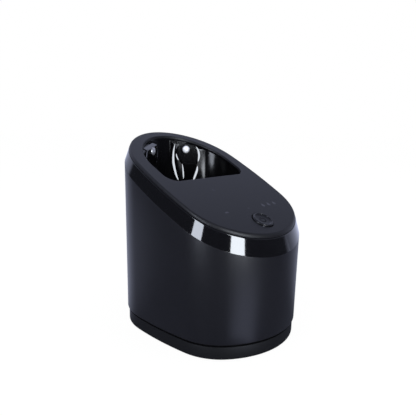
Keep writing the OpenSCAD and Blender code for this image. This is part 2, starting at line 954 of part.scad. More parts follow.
module motor_can() {
    color("#b9bcc0")
    at_shaft()
    difference() {
        union() {
            translate([0, 0, chassis_top]) cylinder(r = motor_r, h = motor_h - 2);
            translate([0, 0, chassis_top]) cylinder(r = 4, h = motor_h);
        }
        translate([0, 0, chassis_top - 1]) cylinder(r = shaft_r + run_fit, h = motor_h + 2);
    }
}

module fan_housing() {
    r_out = fan_r + fan_gap + fan_wall;
    color("#2d2f35")
    difference() {
        union() {
            at_shaft() tube(r_out, r_out - fan_wall, chassis_top, fan_top);
            // duct to the pocket
            translate([-duct_w / 2 - fan_wall, shaft_at + r_out - 3, duct_z - fan_wall])
                cube([duct_w + 2 * fan_wall, pocket_front - bowl_wall - shaft_at - r_out + 3,
                    duct_h + 2 * fan_wall]);
        }
        translate([-duct_w / 2, shaft_at + fan_r, duct_z]) cube([duct_w, 20, duct_h]);
        at_shaft() translate([0, 0, chassis_top - 1]) cylinder(r = r_out - fan_wall, h = through);
        // air slots round the motor
        at_shaft()
            for (a = [0 : 30 : 330])
                rotate([0, 0, a + 15])
                    translate([r_out - 4, -2.5, chassis_top + 3])
                        cube([8, 5, motor_h - 8]);
    }
}

module fan_wheel() {
    color("#8d9096")
    at_shaft()
    difference() {
        union() {
            translate([0, 0, fan_z]) cylinder(r = fan_hub_r, h = fan_h);
            translate([0, 0, fan_z]) cylinder(r = fan_r, h = 1.2);
            for (i = [0 : fan_blades - 1])
                rotate([0, 0, i * 360 / fan_blades])
                    translate([fan_r * 0.62, -0.5, fan_z + 1])
                        rotate([0, 0, 24])
                            cube([fan_r * 0.36, 1, fan_h - 1]);
        }
        translate([0, 0, fan_z - 1]) cylinder(r = shaft_r, h = fan_h + 2);
    }
}

module motor_shaft() {
    color("#d0d2d6")
    at_shaft()
        translate([0, 0, pump_z + pump_wall + 0.5])
            cylinder(r = shaft_r, h = fan_z + fan_h - pump_z - pump_wall - 0.5);
}

module pump_wheel() {
    z0 = pump_z + pump_wall + 0.4;
    color("#e4e2da")
    at_shaft()
    difference() {
        union() {
            translate([0, 0, z0]) cylinder(r = 3, h = pump_wheel_t);
            translate([0, 0, z0 + pump_wheel_t - 1]) cylinder(r = pump_wheel_r, h = 1);
            for (i = [0 : pump_vanes - 1])
                rotate([0, 0, i * 360 / pump_vanes])
                    translate([2, -0.6, z0]) cube([pump_wheel_r - 2.6, 1.2, pump_wheel_t - 0.5]);
        }
        translate([0, 0, z0 - 1]) cylinder(r = shaft_r, h = pump_wheel_t + 2);
    }
}

module pump_housing() {
    color("#44474f")
    difference() {
        union() {
            at_shaft() translate([0, 0, pump_z]) cylinder(r = pump_r + pump_wall, h = chassis_z - pump_z);
            // outlet that the fill tube leaves
            translate([fill_x, shaft_at, fill_z]) rotate([-90, 0, 0])
                cylinder(r = outlet_r, h = pump_r + pump_wall + 1);
        }
        at_shaft() translate([0, 0, pump_z + pump_wall]) cylinder(r = pump_r, h = 20);
        at_shaft() translate([0, 0, pump_z - 1]) cylinder(r = tube_bore_r, h = 10);
        translate([fill_x, shaft_at, fill_z]) rotate([-90, 0, 0]) cylinder(r = fill_bore_r, h = 40);
    }
}

module intake_tube() {
    color("#c8ccd0")
    at_shaft() difference() {
        tube(tube_r, tube_bore_r, intake_z, pump_z);
        // notches that let the fluid in at the foot
        for (a = [0, 90])
            rotate([0, 0, a]) translate([-2 * tube_r, -notch_w / 2, intake_z - notch_h])
                cube([4 * tube_r, notch_w, 2 * notch_h]);
    }
}

module fill_tube() {
    y0 = shaft_at + pump_r + pump_wall + 1;
    color("#c8ccd0")
    difference() {
        union() {
            translate([fill_x, y0, fill_z]) rotate([-90, 0, 0]) cylinder(r = fill_r, h = fill_at - y0);
            translate([fill_x, fill_at, fill_z]) sphere(r = fill_r);
            translate([fill_x, fill_at, fill_z]) cylinder(r = fill_r, h = bowl_bottom - fill_z);
        }
        translate([fill_x, y0 - 1, fill_z]) rotate([-90, 0, 0])
            cylinder(r = fill_bore_r, h = fill_at - y0 + 1);
        translate([fill_x, fill_at, fill_z]) cylinder(r = fill_bore_r, h = through);
    }
}

// ---------------------------------------------------------------- power inlet

inlet_wall = 1.6;
pin_r = 0.9;
pin_pitch = 5.5;

module power_inlet() {
    color("#141418")
    intersection() {
        difference() {
            translate([inlet_x, half_l - inlet_depth, inlet_h_mid]) rotate([90, 0, 0])
                linear_extrude(height = 2 * inlet_depth + 6, center = true)
                    polygon(rounded(inlet_w + 2 * inlet_wall, inlet_h + 2 * inlet_wall, 3 + inlet_wall));
            translate([inlet_x, inlet_back_y, inlet_h_mid]) rotate([-90, 0, 0])
                linear_extrude(height = big) polygon(rounded(inlet_w, inlet_h, 3));
            translate([0, inlet_back_y - inlet_wall - 30, 0]) cube([big, 30, big]);
            for (s = [-1, 1])
                translate([inlet_x + s * pin_pitch / 2, 0, inlet_h_mid]) rotate([-90, 0, 0])
                    cylinder(r = pin_r, h = half_l);
        }
        oval(0.3, 0, big / 2);
    }
}

inlet_back_y = half_l - 5 - inlet_depth;

module inlet_pins() {
    color("#c9a24a")
    for (s = [-1, 1])
        translate([inlet_x + s * pin_pitch / 2, inlet_back_y - inlet_wall - 1, inlet_h_mid])
            rotate([-90, 0, 0]) {
                cylinder(r = pin_r, h = inlet_depth - 2);
                translate([0, 0, inlet_depth - 2]) sphere(r = pin_r);
            }
}

// ---------------------------------------------------------------- buttons and latch

module start_button() {
    flange = 1.2;
    under = panel_t * cos(top_angle) + slide_gap;
    // the stem stops just clear of the switch when the button is pressed
    stem_foot = switch_h + button_travel + slide_gap / 2 - board_drop;
    color("#30323d")
    on_panel(button_at) {
        rotate_extrude()
            polygon([
                [0, -under - flange], [button_d / 2 + 1.2, -under - flange], [button_d / 2 + 1.2, -under],
                [button_d / 2, -under], [button_d / 2, button_rise - 0.6],
                [button_d / 2 - 0.2, button_rise - 0.25], [button_d / 2 - 0.7, button_rise],
                [button_d / 2 - 2.6, button_rise], [0, button_rise - 0.25]
            ]);
        translate([0, 0, stem_foot]) cylinder(r = 1.6, h = eps - under - flange - stem_foot);
    }
}

module lift_button() {
    face_inset = 0.4;
    depth = 2 * lift_button_travel;
    rim = button_gap + 0.6;
    rim_t = 1.2;
    stem_end = latch_at + latch_arm / 2 + button_gap;
    color("#2b2c33") {
        intersection() {
            translate([0, half_l - depth, lift_button_h_mid]) rotate([-90, 0, 0])
                linear_extrude(height = depth) polygon(rounded(lift_button_w, lift_button_h, lift_corner_r));
            oval(face_inset, 0, big / 2);
        }
        // rim that keeps the button behind the housing's wall
        translate([0, half_l - depth - rim_t / 2, lift_button_h_mid]) rotate([-90, 0, 0])
            linear_extrude(height = rim_t)
                polygon(rounded(lift_button_w + 2 * rim, lift_button_h + 2 * rim, lift_corner_r + rim));
        translate([0, stem_end + stem_r, lift_button_h_mid]) {
            sphere(r = stem_r);
            rotate([-90, 0, 0]) cylinder(r = stem_r, h = half_l - depth - stem_end - stem_r + 1);
        }
    }
}

module latch_lever() {
    hook_z = catch_top - catch_h - catch_gap;
    hook_y = hook_post_at + hook_post_t + catch_nose + catch_gap;
    color("#8a8d94")
    difference() {
        union() {
            translate([-latch_w / 2, latch_at, latch_h]) rotate([0, 90, 0])
                cylinder(r = latch_hub_r, h = latch_w);
            translate([-latch_w / 4, latch_at - latch_arm / 2, hook_z - hook_t])
                cube([latch_w / 2, latch_arm, latch_h - hook_z + hook_t]);
            translate([-latch_w / 4, latch_at - latch_arm / 2, latch_h])
                cube([latch_w / 2, latch_arm, lift_button_h_mid - latch_h + stem_r]);
            // hook
            translate([-latch_w / 4, hook_y, hook_z - hook_t])
                cube([latch_w / 2, latch_at - hook_y, hook_t]);
        }
        translate([-latch_w, latch_at, latch_h]) rotate([0, 90, 0])
            cylinder(r = latch_pin_r + run_fit, h = 2 * latch_w);
    }
}

module latch_pin() {
    reach = latch_w / 2 + slide_gap + latch_ear;
    color("silver")
        translate([-reach, latch_at, latch_h]) rotate([0, 90, 0]) cylinder(r = latch_pin_r, h = 2 * reach);
}

// ---------------------------------------------------------------- assembly

base_tray();
feet();
post_screws();
guide_posts();
lift_springs();
latch_bridge();
cartridge_tank();
cartridge_lid();
cartridge_filter();
lid_seals();
housing_shell();
chassis();
trim_band();
top_panel();
cradle_bowl();
control_board();
light_guide();
motor_can();
fan_housing();
pump_housing();
intake_tube();
fill_tube();
power_inlet();
inlet_pins();
latch_pin();
start_button();
lift_button();
latch_lever();
contact_left();
contact_right();
motor_shaft();
fan_wheel();
pump_wheel();
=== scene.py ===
"""Looks of an oval shaver cleaning station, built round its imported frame, in metres."""

import json
import math

import bmesh
import bpy
import numpy as np
from mathutils import Matrix, Vector

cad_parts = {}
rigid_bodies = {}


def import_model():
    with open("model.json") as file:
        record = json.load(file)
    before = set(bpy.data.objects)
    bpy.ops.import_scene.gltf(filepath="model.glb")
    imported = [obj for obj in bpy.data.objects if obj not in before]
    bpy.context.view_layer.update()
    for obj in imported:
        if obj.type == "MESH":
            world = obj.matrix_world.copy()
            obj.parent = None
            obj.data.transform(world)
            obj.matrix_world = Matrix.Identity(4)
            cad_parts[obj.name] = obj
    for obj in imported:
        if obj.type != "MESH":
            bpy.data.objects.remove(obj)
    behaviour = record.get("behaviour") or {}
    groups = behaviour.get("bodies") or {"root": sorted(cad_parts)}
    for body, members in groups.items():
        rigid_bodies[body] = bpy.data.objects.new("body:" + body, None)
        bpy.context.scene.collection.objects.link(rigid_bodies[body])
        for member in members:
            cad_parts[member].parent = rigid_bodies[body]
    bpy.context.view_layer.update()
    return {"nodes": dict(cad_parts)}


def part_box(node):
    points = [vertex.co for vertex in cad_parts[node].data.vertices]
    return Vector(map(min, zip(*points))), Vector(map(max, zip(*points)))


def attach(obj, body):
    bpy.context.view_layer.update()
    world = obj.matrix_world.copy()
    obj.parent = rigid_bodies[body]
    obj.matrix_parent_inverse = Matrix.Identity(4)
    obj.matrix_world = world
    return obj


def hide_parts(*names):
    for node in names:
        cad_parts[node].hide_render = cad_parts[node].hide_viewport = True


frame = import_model()
nodes = frame["nodes"]

# ------------------------------------------------------------------ driving sizes

housing_low, housing_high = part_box("housing_shell")
HALF_W = housing_high.x
HALF_L = housing_high.y
FRONT_END_R = HALF_W + 0.0085
REAR_END_R = HALF_W + 0.003
FRONT_CORNER_R = 0.043
REAR_CORNER_R = 0.052
SIDE_R = 0.278
WALL = 0.0024
DRAFT = 0.0009

SLOPE_DEG = 25.4
SLOPE = math.tan(math.radians(SLOPE_DEG))
BAND_H = 0.0108
BAND_LEAN = 0.0034
BAND_T = 0.0062
BAND_SKIRT = 0.003
PANEL_T = 0.003
PANEL_EDGE = 0.0017
PANEL_GROOVE = 0.0005
BAND_MID_H = housing_high.z - SLOPE * HALF_L
PANEL_MID_H = BAND_MID_H + BAND_H + PANEL_T

BASE_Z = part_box("base_tray")[0].z
FLOOR_Z = BASE_Z + 0.0022
LIP_Z = BASE_Z + 0.0098
LIP_INSET = 0.0021
LIP_END_Y = HALF_L - 0.034
CHAMFER = 0.0009
HOUSING_Z = housing_low.z

POCKET_HALF = 0.043
POCKET_FRONT_Y = -0.0005
POCKET_REAR_Y = 0.063
POCKET_CORNER_R = 0.010
POCKET_BOTTOM_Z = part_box("motor_can")[0].z
BOWL_WALL = 0.002

CONTACT_TURN = math.radians(26.5)
CONTACT_X, CONTACT_Y = 0.0194, 0.0524
CONTACT_R = 0.0032
PAD_T = 0.001
GROOVE_X = 0.011
GROOVE_Y = 0.0565
GROOVE_REACH = 0.0112      # the bevels nearer the middle than this line the groove

BUTTON_Y = -0.056
BUTTON_D = 0.0164
BUTTON_GAP = 0.00035
BUTTON_RISE = 0.0009
BUTTON_DISH = 0.0007


# ------------------------------------------------------------------ the oval outline

def corner_centre(end_r, corner_r):
    """Centre of the arc that joins an end arc to a long side arc."""
    end, side = np.array([0, HALF_L - end_r]), np.array([HALF_W - SIDE_R, 0])
    apart = side - end
    length = np.linalg.norm(apart)
    reach, side_reach = end_r - corner_r, SIDE_R - corner_r
    along = (length ** 2 + reach ** 2 - side_reach ** 2) / (2 * length)
    across = math.sqrt(max(reach ** 2 - along ** 2, 0))
    unit = apart / length
    normal = np.array([-unit[1], unit[0]])
    return max((end + unit * along + normal * s * across for s in (1, -1)), key=lambda c: c[1])


def outline_quarter(end_r, corner_r, steps=(14, 20, 10)):
    """Rows of centre x, centre y, radius and normal angle, from the end's axis to the side's."""
    corner = corner_centre(end_r, corner_r)
    end, side = np.array([0, HALF_L - end_r]), np.array([HALF_W - SIDE_R, 0])
    turn_1 = math.atan2(*(corner - end))
    turn_2 = math.atan2(*(corner - side))
    arcs = ((end, end_r, 0, turn_1), (corner, corner_r, turn_1, turn_2),
            (side, SIDE_R, turn_2, math.pi / 2))
    return [(*centre, radius, angle)
            for (centre, radius, start, stop), count in zip(arcs, steps)
            for angle in np.linspace(start, stop, count, endpoint=False)]


def outline_rows():
    """The whole outline, anticlockwise from +X, as centres, radii and unit normals."""
    rear = outline_quarter(REAR_END_R, REAR_CORNER_R)
    front = outline_quarter(FRONT_END_R, FRONT_CORNER_R)
    side = (HALF_W - SIDE_R, 0, SIDE_R, math.pi / 2)
    rows = []
    for quarter, x_sign, y_sign in ((rear, 1, 1), (rear, -1, 1), (front, -1, -1), (front, 1, -1)):
        towards_end = x_sign * y_sign > 0
        run = [side, *quarter[:0:-1]] if towards_end else quarter
        rows += [(x * x_sign, y * y_sign, r, math.sin(a) * x_sign, math.cos(a) * y_sign)
                 for x, y, r, a in run]
    return np.array(rows)


OUTLINE = outline_rows()


def oval(inset=0.0):
    return OUTLINE[:, :2] + OUTLINE[:, 3:] * (OUTLINE[:, 2:3] - inset)


def flat_ring(plan, z):
    return np.column_stack([plan, np.full(len(plan), z)])


def slant_ring(plan, rise=0.0):
    """A ring on the plane that lies rise over the trim band's lower edge."""
    return np.column_stack([plan, BAND_MID_H + SLOPE * plan[:, 1] + rise])


def quarter_round(radius, steps=5):
    """Offsets across and up a rounded edge, from its side to its top."""
    turns = np.linspace(0, math.pi / 2, steps)
    return [(radius * (1 - math.cos(t)), radius * math.sin(t)) for t in turns]


# ------------------------------------------------------------------ meshes

def new_object(name, data):
    made = bpy.data.objects.new(name, data)
    bpy.context.scene.collection.objects.link(made)
    return made


def mesh_piece(name, points, faces, smooth_deg=35):
    mesh = bpy.data.meshes.new(name)
    mesh.from_pydata([tuple(map(float, p)) for p in points], [], faces)
    piece = new_object(name, mesh)
    tidy_mesh(piece, smooth_deg)
    return piece


def tidy_mesh(piece, smooth_deg=35, merge=1e-7):
    """Merges doubles, points the faces outwards and smooths all but the sharp edges."""
    bm = bmesh.new()
    bm.from_mesh(piece.data)
    bmesh.ops.remove_doubles(bm, verts=bm.verts, dist=merge)
    bmesh.ops.recalc_face_normals(bm, faces=bm.faces)
    limit = math.radians(smooth_deg)
    for face in bm.faces:
        face.smooth = True
    for edge in bm.edges:
        edge.smooth = len(edge.link_faces) == 2 and edge.calc_face_angle() < limit
    bm.to_mesh(piece.data)
    bm.free()


def loft(name, rings, closed=False, smooth_deg=35):
    """A solid through rings of equal length; closed joins the last ring to the first."""
    count, layers = len(rings[0]), len(rings)
    points = np.concatenate(rings)
    faces = []
    for j in range(layers if closed else layers - 1):
        k = (j + 1) % layers
        faces += [(j * count + i, j * count + (i + 1) % count,
                   k * count + (i + 1) % count, k * count + i) for i in range(count)]
    if not closed:
        faces += [tuple(range(count))[::-1], tuple((layers - 1) * count + i for i in range(count))]
    return mesh_piece(name, points, faces, smooth_deg)


def lathe(name, profile, place=Matrix.Identity(4), steps=96):
    """A turned solid: profile is (radius, height) pairs that start and end on the axis."""
    turns = np.linspace(0, 2 * math.pi, steps, endpoint=False)
    rings = [np.array([(max(r, 1e-6) * math.cos(t), max(r, 1e-6) * math.sin(t), z) for t in turns])
             for r, z in profile]
    piece = loft(name, rings)
    piece.data.transform(place)
    return piece


def prism(name, plan, low, high):
    return loft(name, [flat_ring(plan, low), flat_ring(plan, high)])


def box(name, low, high):
    (x0, y0, z0), (x1, y1, z1) = low, high
    return prism(name, np.array([(x0, y0), (x1, y0), (x1, y1), (x0, y1)]), z0, z1)


def rod(name, radius, low, high, x=0.0, y=0.0, steps=64):
    """An upright round bar."""
    return lathe(name, [(0, low), (radius, low), (radius, high), (0, high)],
                 Matrix.Translation((x, y, 0)), steps)


def combine(piece, others, operation="DIFFERENCE"):
    """Cuts the other solids from the piece, or joins or intersects them, and deletes them."""
    for other in others:
        modifier = piece.modifiers.new("combine", "BOOLEAN")
        modifier.operation = operation
        modifier.solver = "EXACT"
        modifier.object = other
    graph = bpy.context.evaluated_depsgraph_get()
    made = bpy.data.meshes.new_from_object(piece.evaluated_get(graph))
    piece.modifiers.clear()
    old, piece.data = piece.data, made
    made.name = old.name
    bpy.data.meshes.remove(old)
    for other in others:
        bpy.data.objects.remove(other)
    tidy_mesh(piece, merge=2e-6)
    return piece


def join(piece, others):
    """Adds the others' meshes to the piece's own, as loose parts."""
    bm = bmesh.new()
    for part in (piece, *others):
        bm.from_mesh(part.data)
    bm.to_mesh(piece.data)
    bm.free()
    for other in others:
        bpy.data.objects.remove(other)
    return piece


def rounded_rectangle(width, length, radius, steps=8):
    corners = ((1, 1, 0), (-1, 1, 90), (-1, -1, 180), (1, -1, 270))
    return np.array([
        (sx * (width / 2 - radius) + radius * math.cos(math.radians(start + a)),
         sy * (length / 2 - radius) + radius * math.sin(math.radians(start + a)))
        for sx, sy, start in corners
        for a in np.linspace(0, 90, steps)])


def panel_place(y, rise=0.0):
    """Frame on the panel's face: its third axis stands square to the slope."""
    move = Matrix.Translation((0, y, PANEL_MID_H + SLOPE * y))
    turn = Matrix.Rotation(math.radians(SLOPE_DEG), 4, "X")
    return move @ turn @ Matrix.Translation((0, 0, rise))


def contact_place(side):
    """Frame of a contact: its third axis points out of the pad, into the pocket."""
    low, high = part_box("contact_right")
    move = Matrix.Translation((side * CONTACT_X, CONTACT_Y, (low.z + high.z) / 2))
    return (move @ Matrix.Rotation(-side * CONTACT_TURN, 4, "Z")
            @ Matrix.Rotation(math.radians(90), 4, "X"))


# ------------------------------------------------------------------ sums of shader values

class Wire:
    """A value in a node tree that takes part in sums; each sum adds a Math node."""

    def __init__(self, recipe, socket):
        self.recipe = recipe
        self.socket = socket

    def maths(self, operation, first, second):
        return self.recipe.add("ShaderNodeMath", {"operation": operation}, {0: first, 1: second})

    def __add__(self, other):
        return self.maths("ADD", self, other)

    def __radd__(self, other):
        return self.maths("ADD", other, self)

    def __sub__(self, other):
        return self.maths("SUBTRACT", self, other)

    def __rsub__(self, other):
        return self.maths("SUBTRACT", other, self)

    def __mul__(self, other):
        return self.maths("MULTIPLY", self, other)

    def __rmul__(self, other):
        return self.maths("MULTIPLY", other, self)

    def above(self, edge):
        return self.maths("GREATER_THAN", self, edge)

    def at_least(self, floor):
        return self.maths("MAXIMUM", self, floor)


class Recipe:
    """A node tree that is built up node by node."""

    def __init__(self, tree):
        self.tree = tree

    def add(self, kind, settings=None, sockets=None, output=0):
        """A node of that type: its settings first, then its sockets by place or name."""
        node = self.tree.nodes.new(kind)
        for key, value in (settings or {}).items():
            setattr(node, key, value)
        for key, value in (sockets or {}).items():
            self.feed(node.inputs[key], value)
        return Wire(self, node.outputs[output])

    def feed(self, socket, value):
        if isinstance(value, Wire):
            self.tree.links.new(value.socket, socket)
        else:
            socket.default_value = value

    def mixed(self, share, first, second):
        """The second colour laid over the first by that share."""
        return self.add("ShaderNodeMix", {"data_type": "RGBA"},
                        {0: share, 6: first, 7: second}, output=2)

    def eased(self, value, start, end, low=0.0, high=1.0):
        """Goes smoothly from low to high while the value goes from start to end."""
        return self.add("ShaderNodeMapRange", {"interpolation_type": "SMOOTHSTEP"},
                        {0: value, 1: start, 2: end, 3: low, 4: high})

    def towards(self, direction, way):
        """How far a direction points that way, from -1 to 1."""
        return self.add("ShaderNodeVectorMath", {"operation": "DOT_PRODUCT"},
                        {0: direction, 1: way}, output=1)

    def ray_kinds(self):
        """Wires that are 1 where a ray comes from the camera, a gloss or a clear body."""
        path = self.add("ShaderNodeLightPath").socket.node
        return [Wire(self, path.outputs[kind])
                for kind in ("Is Camera Ray", "Is Glossy Ray", "Is Transmission Ray")]


def tinted(colour, factor):
    """A colour made lighter or darker by that factor."""
    return tuple(level * factor for level in colour[:3]) + (1,)


def screen(red, green, blue):
    """A colour as a screen shows it, 0 to 255, as the linear light that shaders work in."""
    def one(level):
        level /= 255
        return level / 12.92 if level <= 0.04045 else ((level + 0.055) / 1.055) ** 2.4
    return one(red), one(green), one(blue), 1


class Finish(Recipe):
    """The material of one finish; values that are the same all over are set on the shader."""

    def __init__(self, name, **fixed):
        self.material = bpy.data.materials.new(name)
        self.material.use_nodes = True
        super().__init__(self.material.node_tree)
        self.shader = self.tree.nodes["Principled BSDF"]
        for key, value in fixed.items():
            self.shader.inputs[key.replace("_", " ")].default_value = value
        self.place = self.add("ShaderNodeTexCoord", output=3)

    def paint(self, key, value):
        self.feed(self.shader.inputs[key], value)

    def stretched(self, scale):
        return self.add("ShaderNodeMapping", {}, {0: self.place, 3: scale})

    def grain(self, size, detail=3, place=None):
        """Cloudy noise with features of about that size in metres, from 0 to 1."""
        return self.add("ShaderNodeTexNoise", {}, {
            "Vector": place or self.place, "Scale": 1 / size, "Detail": detail})

    def pits(self, size):
        """Distance to points scattered about that far apart, as in a spark-eroded skin."""
        return self.add("ShaderNodeTexVoronoi", {}, {"Vector": self.place, "Scale": 1 / size})

    def colour(self, share, first, second):
        self.paint("Base Color", self.mixed(share, first, second))

    def rough(self, value, low, high):
        """Roughness from low to high as the value goes from 0 to 1."""
        self.paint("Roughness", value * (high - low) + low)

    def relief(self, height, depth, strength=1.0):
        """Normals of a relief whose height wire spans that depth in metres."""
        self.paint("Normal", self.add("ShaderNodeBump", {}, {
            "Height": height, "Strength": strength, "Distance": depth}))


# ------------------------------------------------------------------ finishes

def moulded(name, dark, light, rough, grain_size=0.00035, grain_depth=0.00001, **fixed):
    """Moulded plastic with a spark-eroded skin: fine pits, cloudy gloss, slight colour drift."""
    finish = Finish(name, **fixed)
    drift = finish.grain(0.022, 4)
    fine = finish.grain(grain_size, 2)
    pits = finish.pits(grain_size * 1.6)
    finish.colour(drift * 0.7 + fine * 0.3, dark, light)
    finish.rough(fine, rough - 0.05, rough + 0.05)
    finish.relief(fine * 0.6 + pits * 0.4, grain_depth)
    return finish


def piano_gloss(name, colour, **fixed):
    """Polished black plastic: a clear coat with a trace of orange peel and fine wiping marks."""
    finish = Finish(name, Coat_Weight=0.6, Coat_Roughness=0.02, **fixed)
    peel = finish.grain(0.006, 1)
    wipes = finish.grain(0.0008, 5, finish.stretched((1, 1, 0.08)))
    finish.colour(peel, colour, tinted(colour, 1.5))
    finish.rough(wipes, 0.045, 0.095)
    finish.relief(peel, 0.000004, 0.5)
    return finish


def pocket_satin(name, colour, **fixed):
    """The pocket's moulded satin skin."""
    finish = Finish(name, **fixed)
    tone = finish.grain(0.012, 3)
    fine = finish.grain(0.0004, 2)
    finish.colour(tone, colour, tinted(colour, 1.4))
    finish.rough(fine, 0.17, 0.23)
    finish.relief(fine, 0.000002)
    return finish


def metal(name, colour, rough, streak):
    """Drawn or turned metal with fine streaks along one axis."""
    finish = Finish(name, Metallic=1.0)
    lines = finish.grain(0.0002, 3, finish.stretched(streak))
    tone = finish.grain(0.004, 3)
    finish.colour(tone * 0.5 + lines * 0.5, tinted(colour, 0.8), colour)
    finish.rough(lines, rough, rough + 0.12)
    finish.relief(lines, 0.000003)
    return finish


def rubber(name, colour):
    """Rubber: matte, faintly dusty, with a slight skin texture."""
    finish = Finish(name, Specular_IOR_Level=0.3, Sheen_Weight=0.15, Sheen_Roughness=0.5)
    skin = finish.grain(0.0004, 4)
    dust = finish.grain(0.006, 5)
    finish.colour(dust, colour, tinted(colour, 1.8))
    finish.rough(dust, 0.7, 0.9)
    finish.relief(skin, 0.00002)
    return finish


def felt(name, colour):
    """Pressed felt: matted fibres."""
    finish = Finish(name, Roughness=0.95, Sheen_Weight=0.5, Sheen_Roughness=0.6)
    fibres = finish.grain(0.0005, 6, finish.stretched((1, 1, 2.5)))
    mat = finish.grain(0.003, 4)
    finish.colour(fibres * 0.6 + mat * 0.4, tinted(colour, 0.6), colour)
    finish.relief(fibres, 0.0002)
    return finish


def circuit_board(name):
    """Solder mask over copper tracks, with bare pads."""
    finish = Finish(name, Coat_Weight=0.3)
    tracks = finish.add("ShaderNodeTexBrick", {"offset": 0.5}, {
        "Vector": finish.place, "Scale": 260.0, "Mortar Size": 0.06, "Mortar Smooth": 0.2})
    pads = finish.pits(0.003)
    is_pad = 1 - pads.above(0.2)
    mask = finish.mixed(tracks, screen(26, 98, 60), screen(18, 70, 42))
    finish.colour(is_pad, mask, screen(190, 188, 178))
    finish.paint("Metallic", is_pad)
    finish.rough(is_pad, 0.35, 0.25)
    finish.relief(tracks, 0.00003)
    return finish


def clear_plastic(name, colour):
    """Clear or milky plastic with a light haze."""
    finish = Finish(name, Transmission_Weight=0.75, IOR=1.49)
    haze = finish.grain(0.004, 3)
    finish.colour(haze, colour, (1, 1, 1, 1))
    finish.rough(haze, 0.05, 0.2)
    return finish


SOFT_DARK, SOFT_LIGHT = screen(22, 23, 30), screen(26, 27, 35)
SOFT_GRAIN = 0.00025

housing_finish = moulded("housing_fine_grain", screen(25, 26, 34), screen(30, 31, 40), 0.33,
                         Specular_IOR_Level=0.5)
base_finish = moulded("base_black_grain", screen(18, 19, 24), screen(23, 24, 30), 0.50,
                      Specular_IOR_Level=0.4)
panel_finish = moulded("panel_soft_touch", SOFT_DARK, SOFT_LIGHT, 0.42, SOFT_GRAIN, 0.000006,
                       Specular_IOR_Level=0.5)
button_finish = moulded("button_soft_touch", SOFT_DARK, SOFT_LIGHT, 0.34, SOFT_GRAIN, 0.000006,
                        Specular_IOR_Level=0.5)
trim_finish = piano_gloss("trim_piano_black", screen(9, 9, 12), Specular_IOR_Level=0.8)
bowl_finish = pocket_satin("pocket_satin_black", screen(9, 9, 12), Specular_IOR_Level=0.5)
pad_finish = piano_gloss("pad_piano_black", screen(8, 8, 10), Specular_IOR_Level=0.6)
contact_finish = metal("polished_nickel", (0.92, 0.92, 0.93, 1), 0.42, (1, 1, 1))
post_finish = metal("drawn_steel_tube", (0.52, 0.53, 0.55, 1), 0.25, (1, 1, 0.02))
screw_finish = metal("zinc_plate", (0.58, 0.59, 0.61, 1), 0.3, (1, 1, 1))
spring_finish = metal("spring_wire", (0.50, 0.51, 0.53, 1), 0.3, (1, 1, 0.3))
can_finish = metal("plated_motor_can", (0.60, 0.61, 0.62, 1), 0.3, (1, 1, 0.05))
brass_finish = metal("brass_pins", (0.80, 0.62, 0.32, 1), 0.2, (1, 0.05, 1))
foot_finish = rubber("foot_rubber", screen(24, 24, 26))
seal_finish = rubber("seal_silicone", screen(34, 34, 38))
frame_finish = moulded("frame_grey", screen(54, 56, 62), screen(62, 64, 71), 0.55)
tank_finish = moulded("cartridge_black", screen(44, 46, 53), screen(52, 54, 62), 0.42)
lid_finish = moulded("cartridge_lid_grey", screen(66, 70, 80), screen(76, 80, 91), 0.45)
lever_finish = moulded("lever_acetal", screen(128, 131, 137), screen(140, 143, 149), 0.4)
wheel_finish = moulded("wheel_white", screen(186, 186, 182), screen(200, 200, 196), 0.45)
inlet_finish = moulded("inlet_black", screen(26, 26, 30), screen(32, 32, 36), 0.4)
felt_finish = felt("filter_felt", (0.62, 0.60, 0.52, 1))
board_finish = circuit_board("board_green")
guide_finish = clear_plastic("light_guide_clear", (0.86, 0.90, 0.93, 1))
tube_finish = clear_plastic("tube_milky", (0.80, 0.83, 0.86, 1))
mark_finish = moulded("mark_print", screen(64, 66, 79), screen(73, 75, 89), 0.5)
bead_finish = moulded("button_bead", SOFT_DARK, SOFT_LIGHT, 0.16, SOFT_GRAIN, 0.000002,
                      Specular_IOR_Level=0.5)
ink_finish = moulded("icon_print", screen(8, 8, 11), screen(11, 11, 14), 0.7, Specular_IOR_Level=0.1)
# the pip's light colour is a painted glint on the button well's front-left edge
glint_pip_finish = moulded("pip_clear", screen(104, 107, 120), screen(120, 123, 136), 0.25)


# ------------------------------------------------------------------ repeats, with Geometry Nodes

class Repeater(Recipe):
    """A Geometry Nodes tree with named inputs, whose copies are made real at its end."""

    def __init__(self, name, inputs):
        super().__init__(bpy.data.node_groups.new(name, "GeometryNodeTree"))
        self.ids = {}
        for key, kind in inputs.items():
            item = self.tree.interface.new_socket(name=key, in_out="INPUT", socket_type=kind)
            self.ids[key] = item.identifier
        self.tree.interface.new_socket(name="Geometry", in_out="OUTPUT",
                                       socket_type="NodeSocketGeometry")
        self.group = self.tree.nodes.new("NodeGroupInput")

    def given(self, key):
        return Wire(self, self.group.outputs[key])

    def close(self, geometry):
        real = self.add("GeometryNodeRealizeInstances", {}, {0: geometry})
        dressed = self.add("GeometryNodeSetMaterial", {}, {0: real, 2: self.given("Material")})
        end = self.tree.nodes.new("NodeGroupOutput")
        self.feed(end.inputs[0], dressed)

    def make(self, name, place=None, **values):
        """Runs the tree and gives back its result as a plain mesh piece."""
        holder = new_object(name, bpy.data.meshes.new(name + "_start"))
        modifier = holder.modifiers.new("repeat", "NODES")
        modifier.node_group = self.tree
        for key, value in values.items():
            modifier[self.ids[key.replace("_", " ")]] = value
        graph = bpy.context.evaluated_depsgraph_get()
        made = bpy.data.meshes.new_from_object(holder.evaluated_get(graph))
        made.name = name
        bpy.data.objects.remove(holder)
        piece = new_object(name, made)
        if place:
            made.transform(place)
        for value in values.values():
            if isinstance(value, bpy.types.Object):
                bpy.data.objects.remove(value)
        tidy_mesh(piece)
        return piece


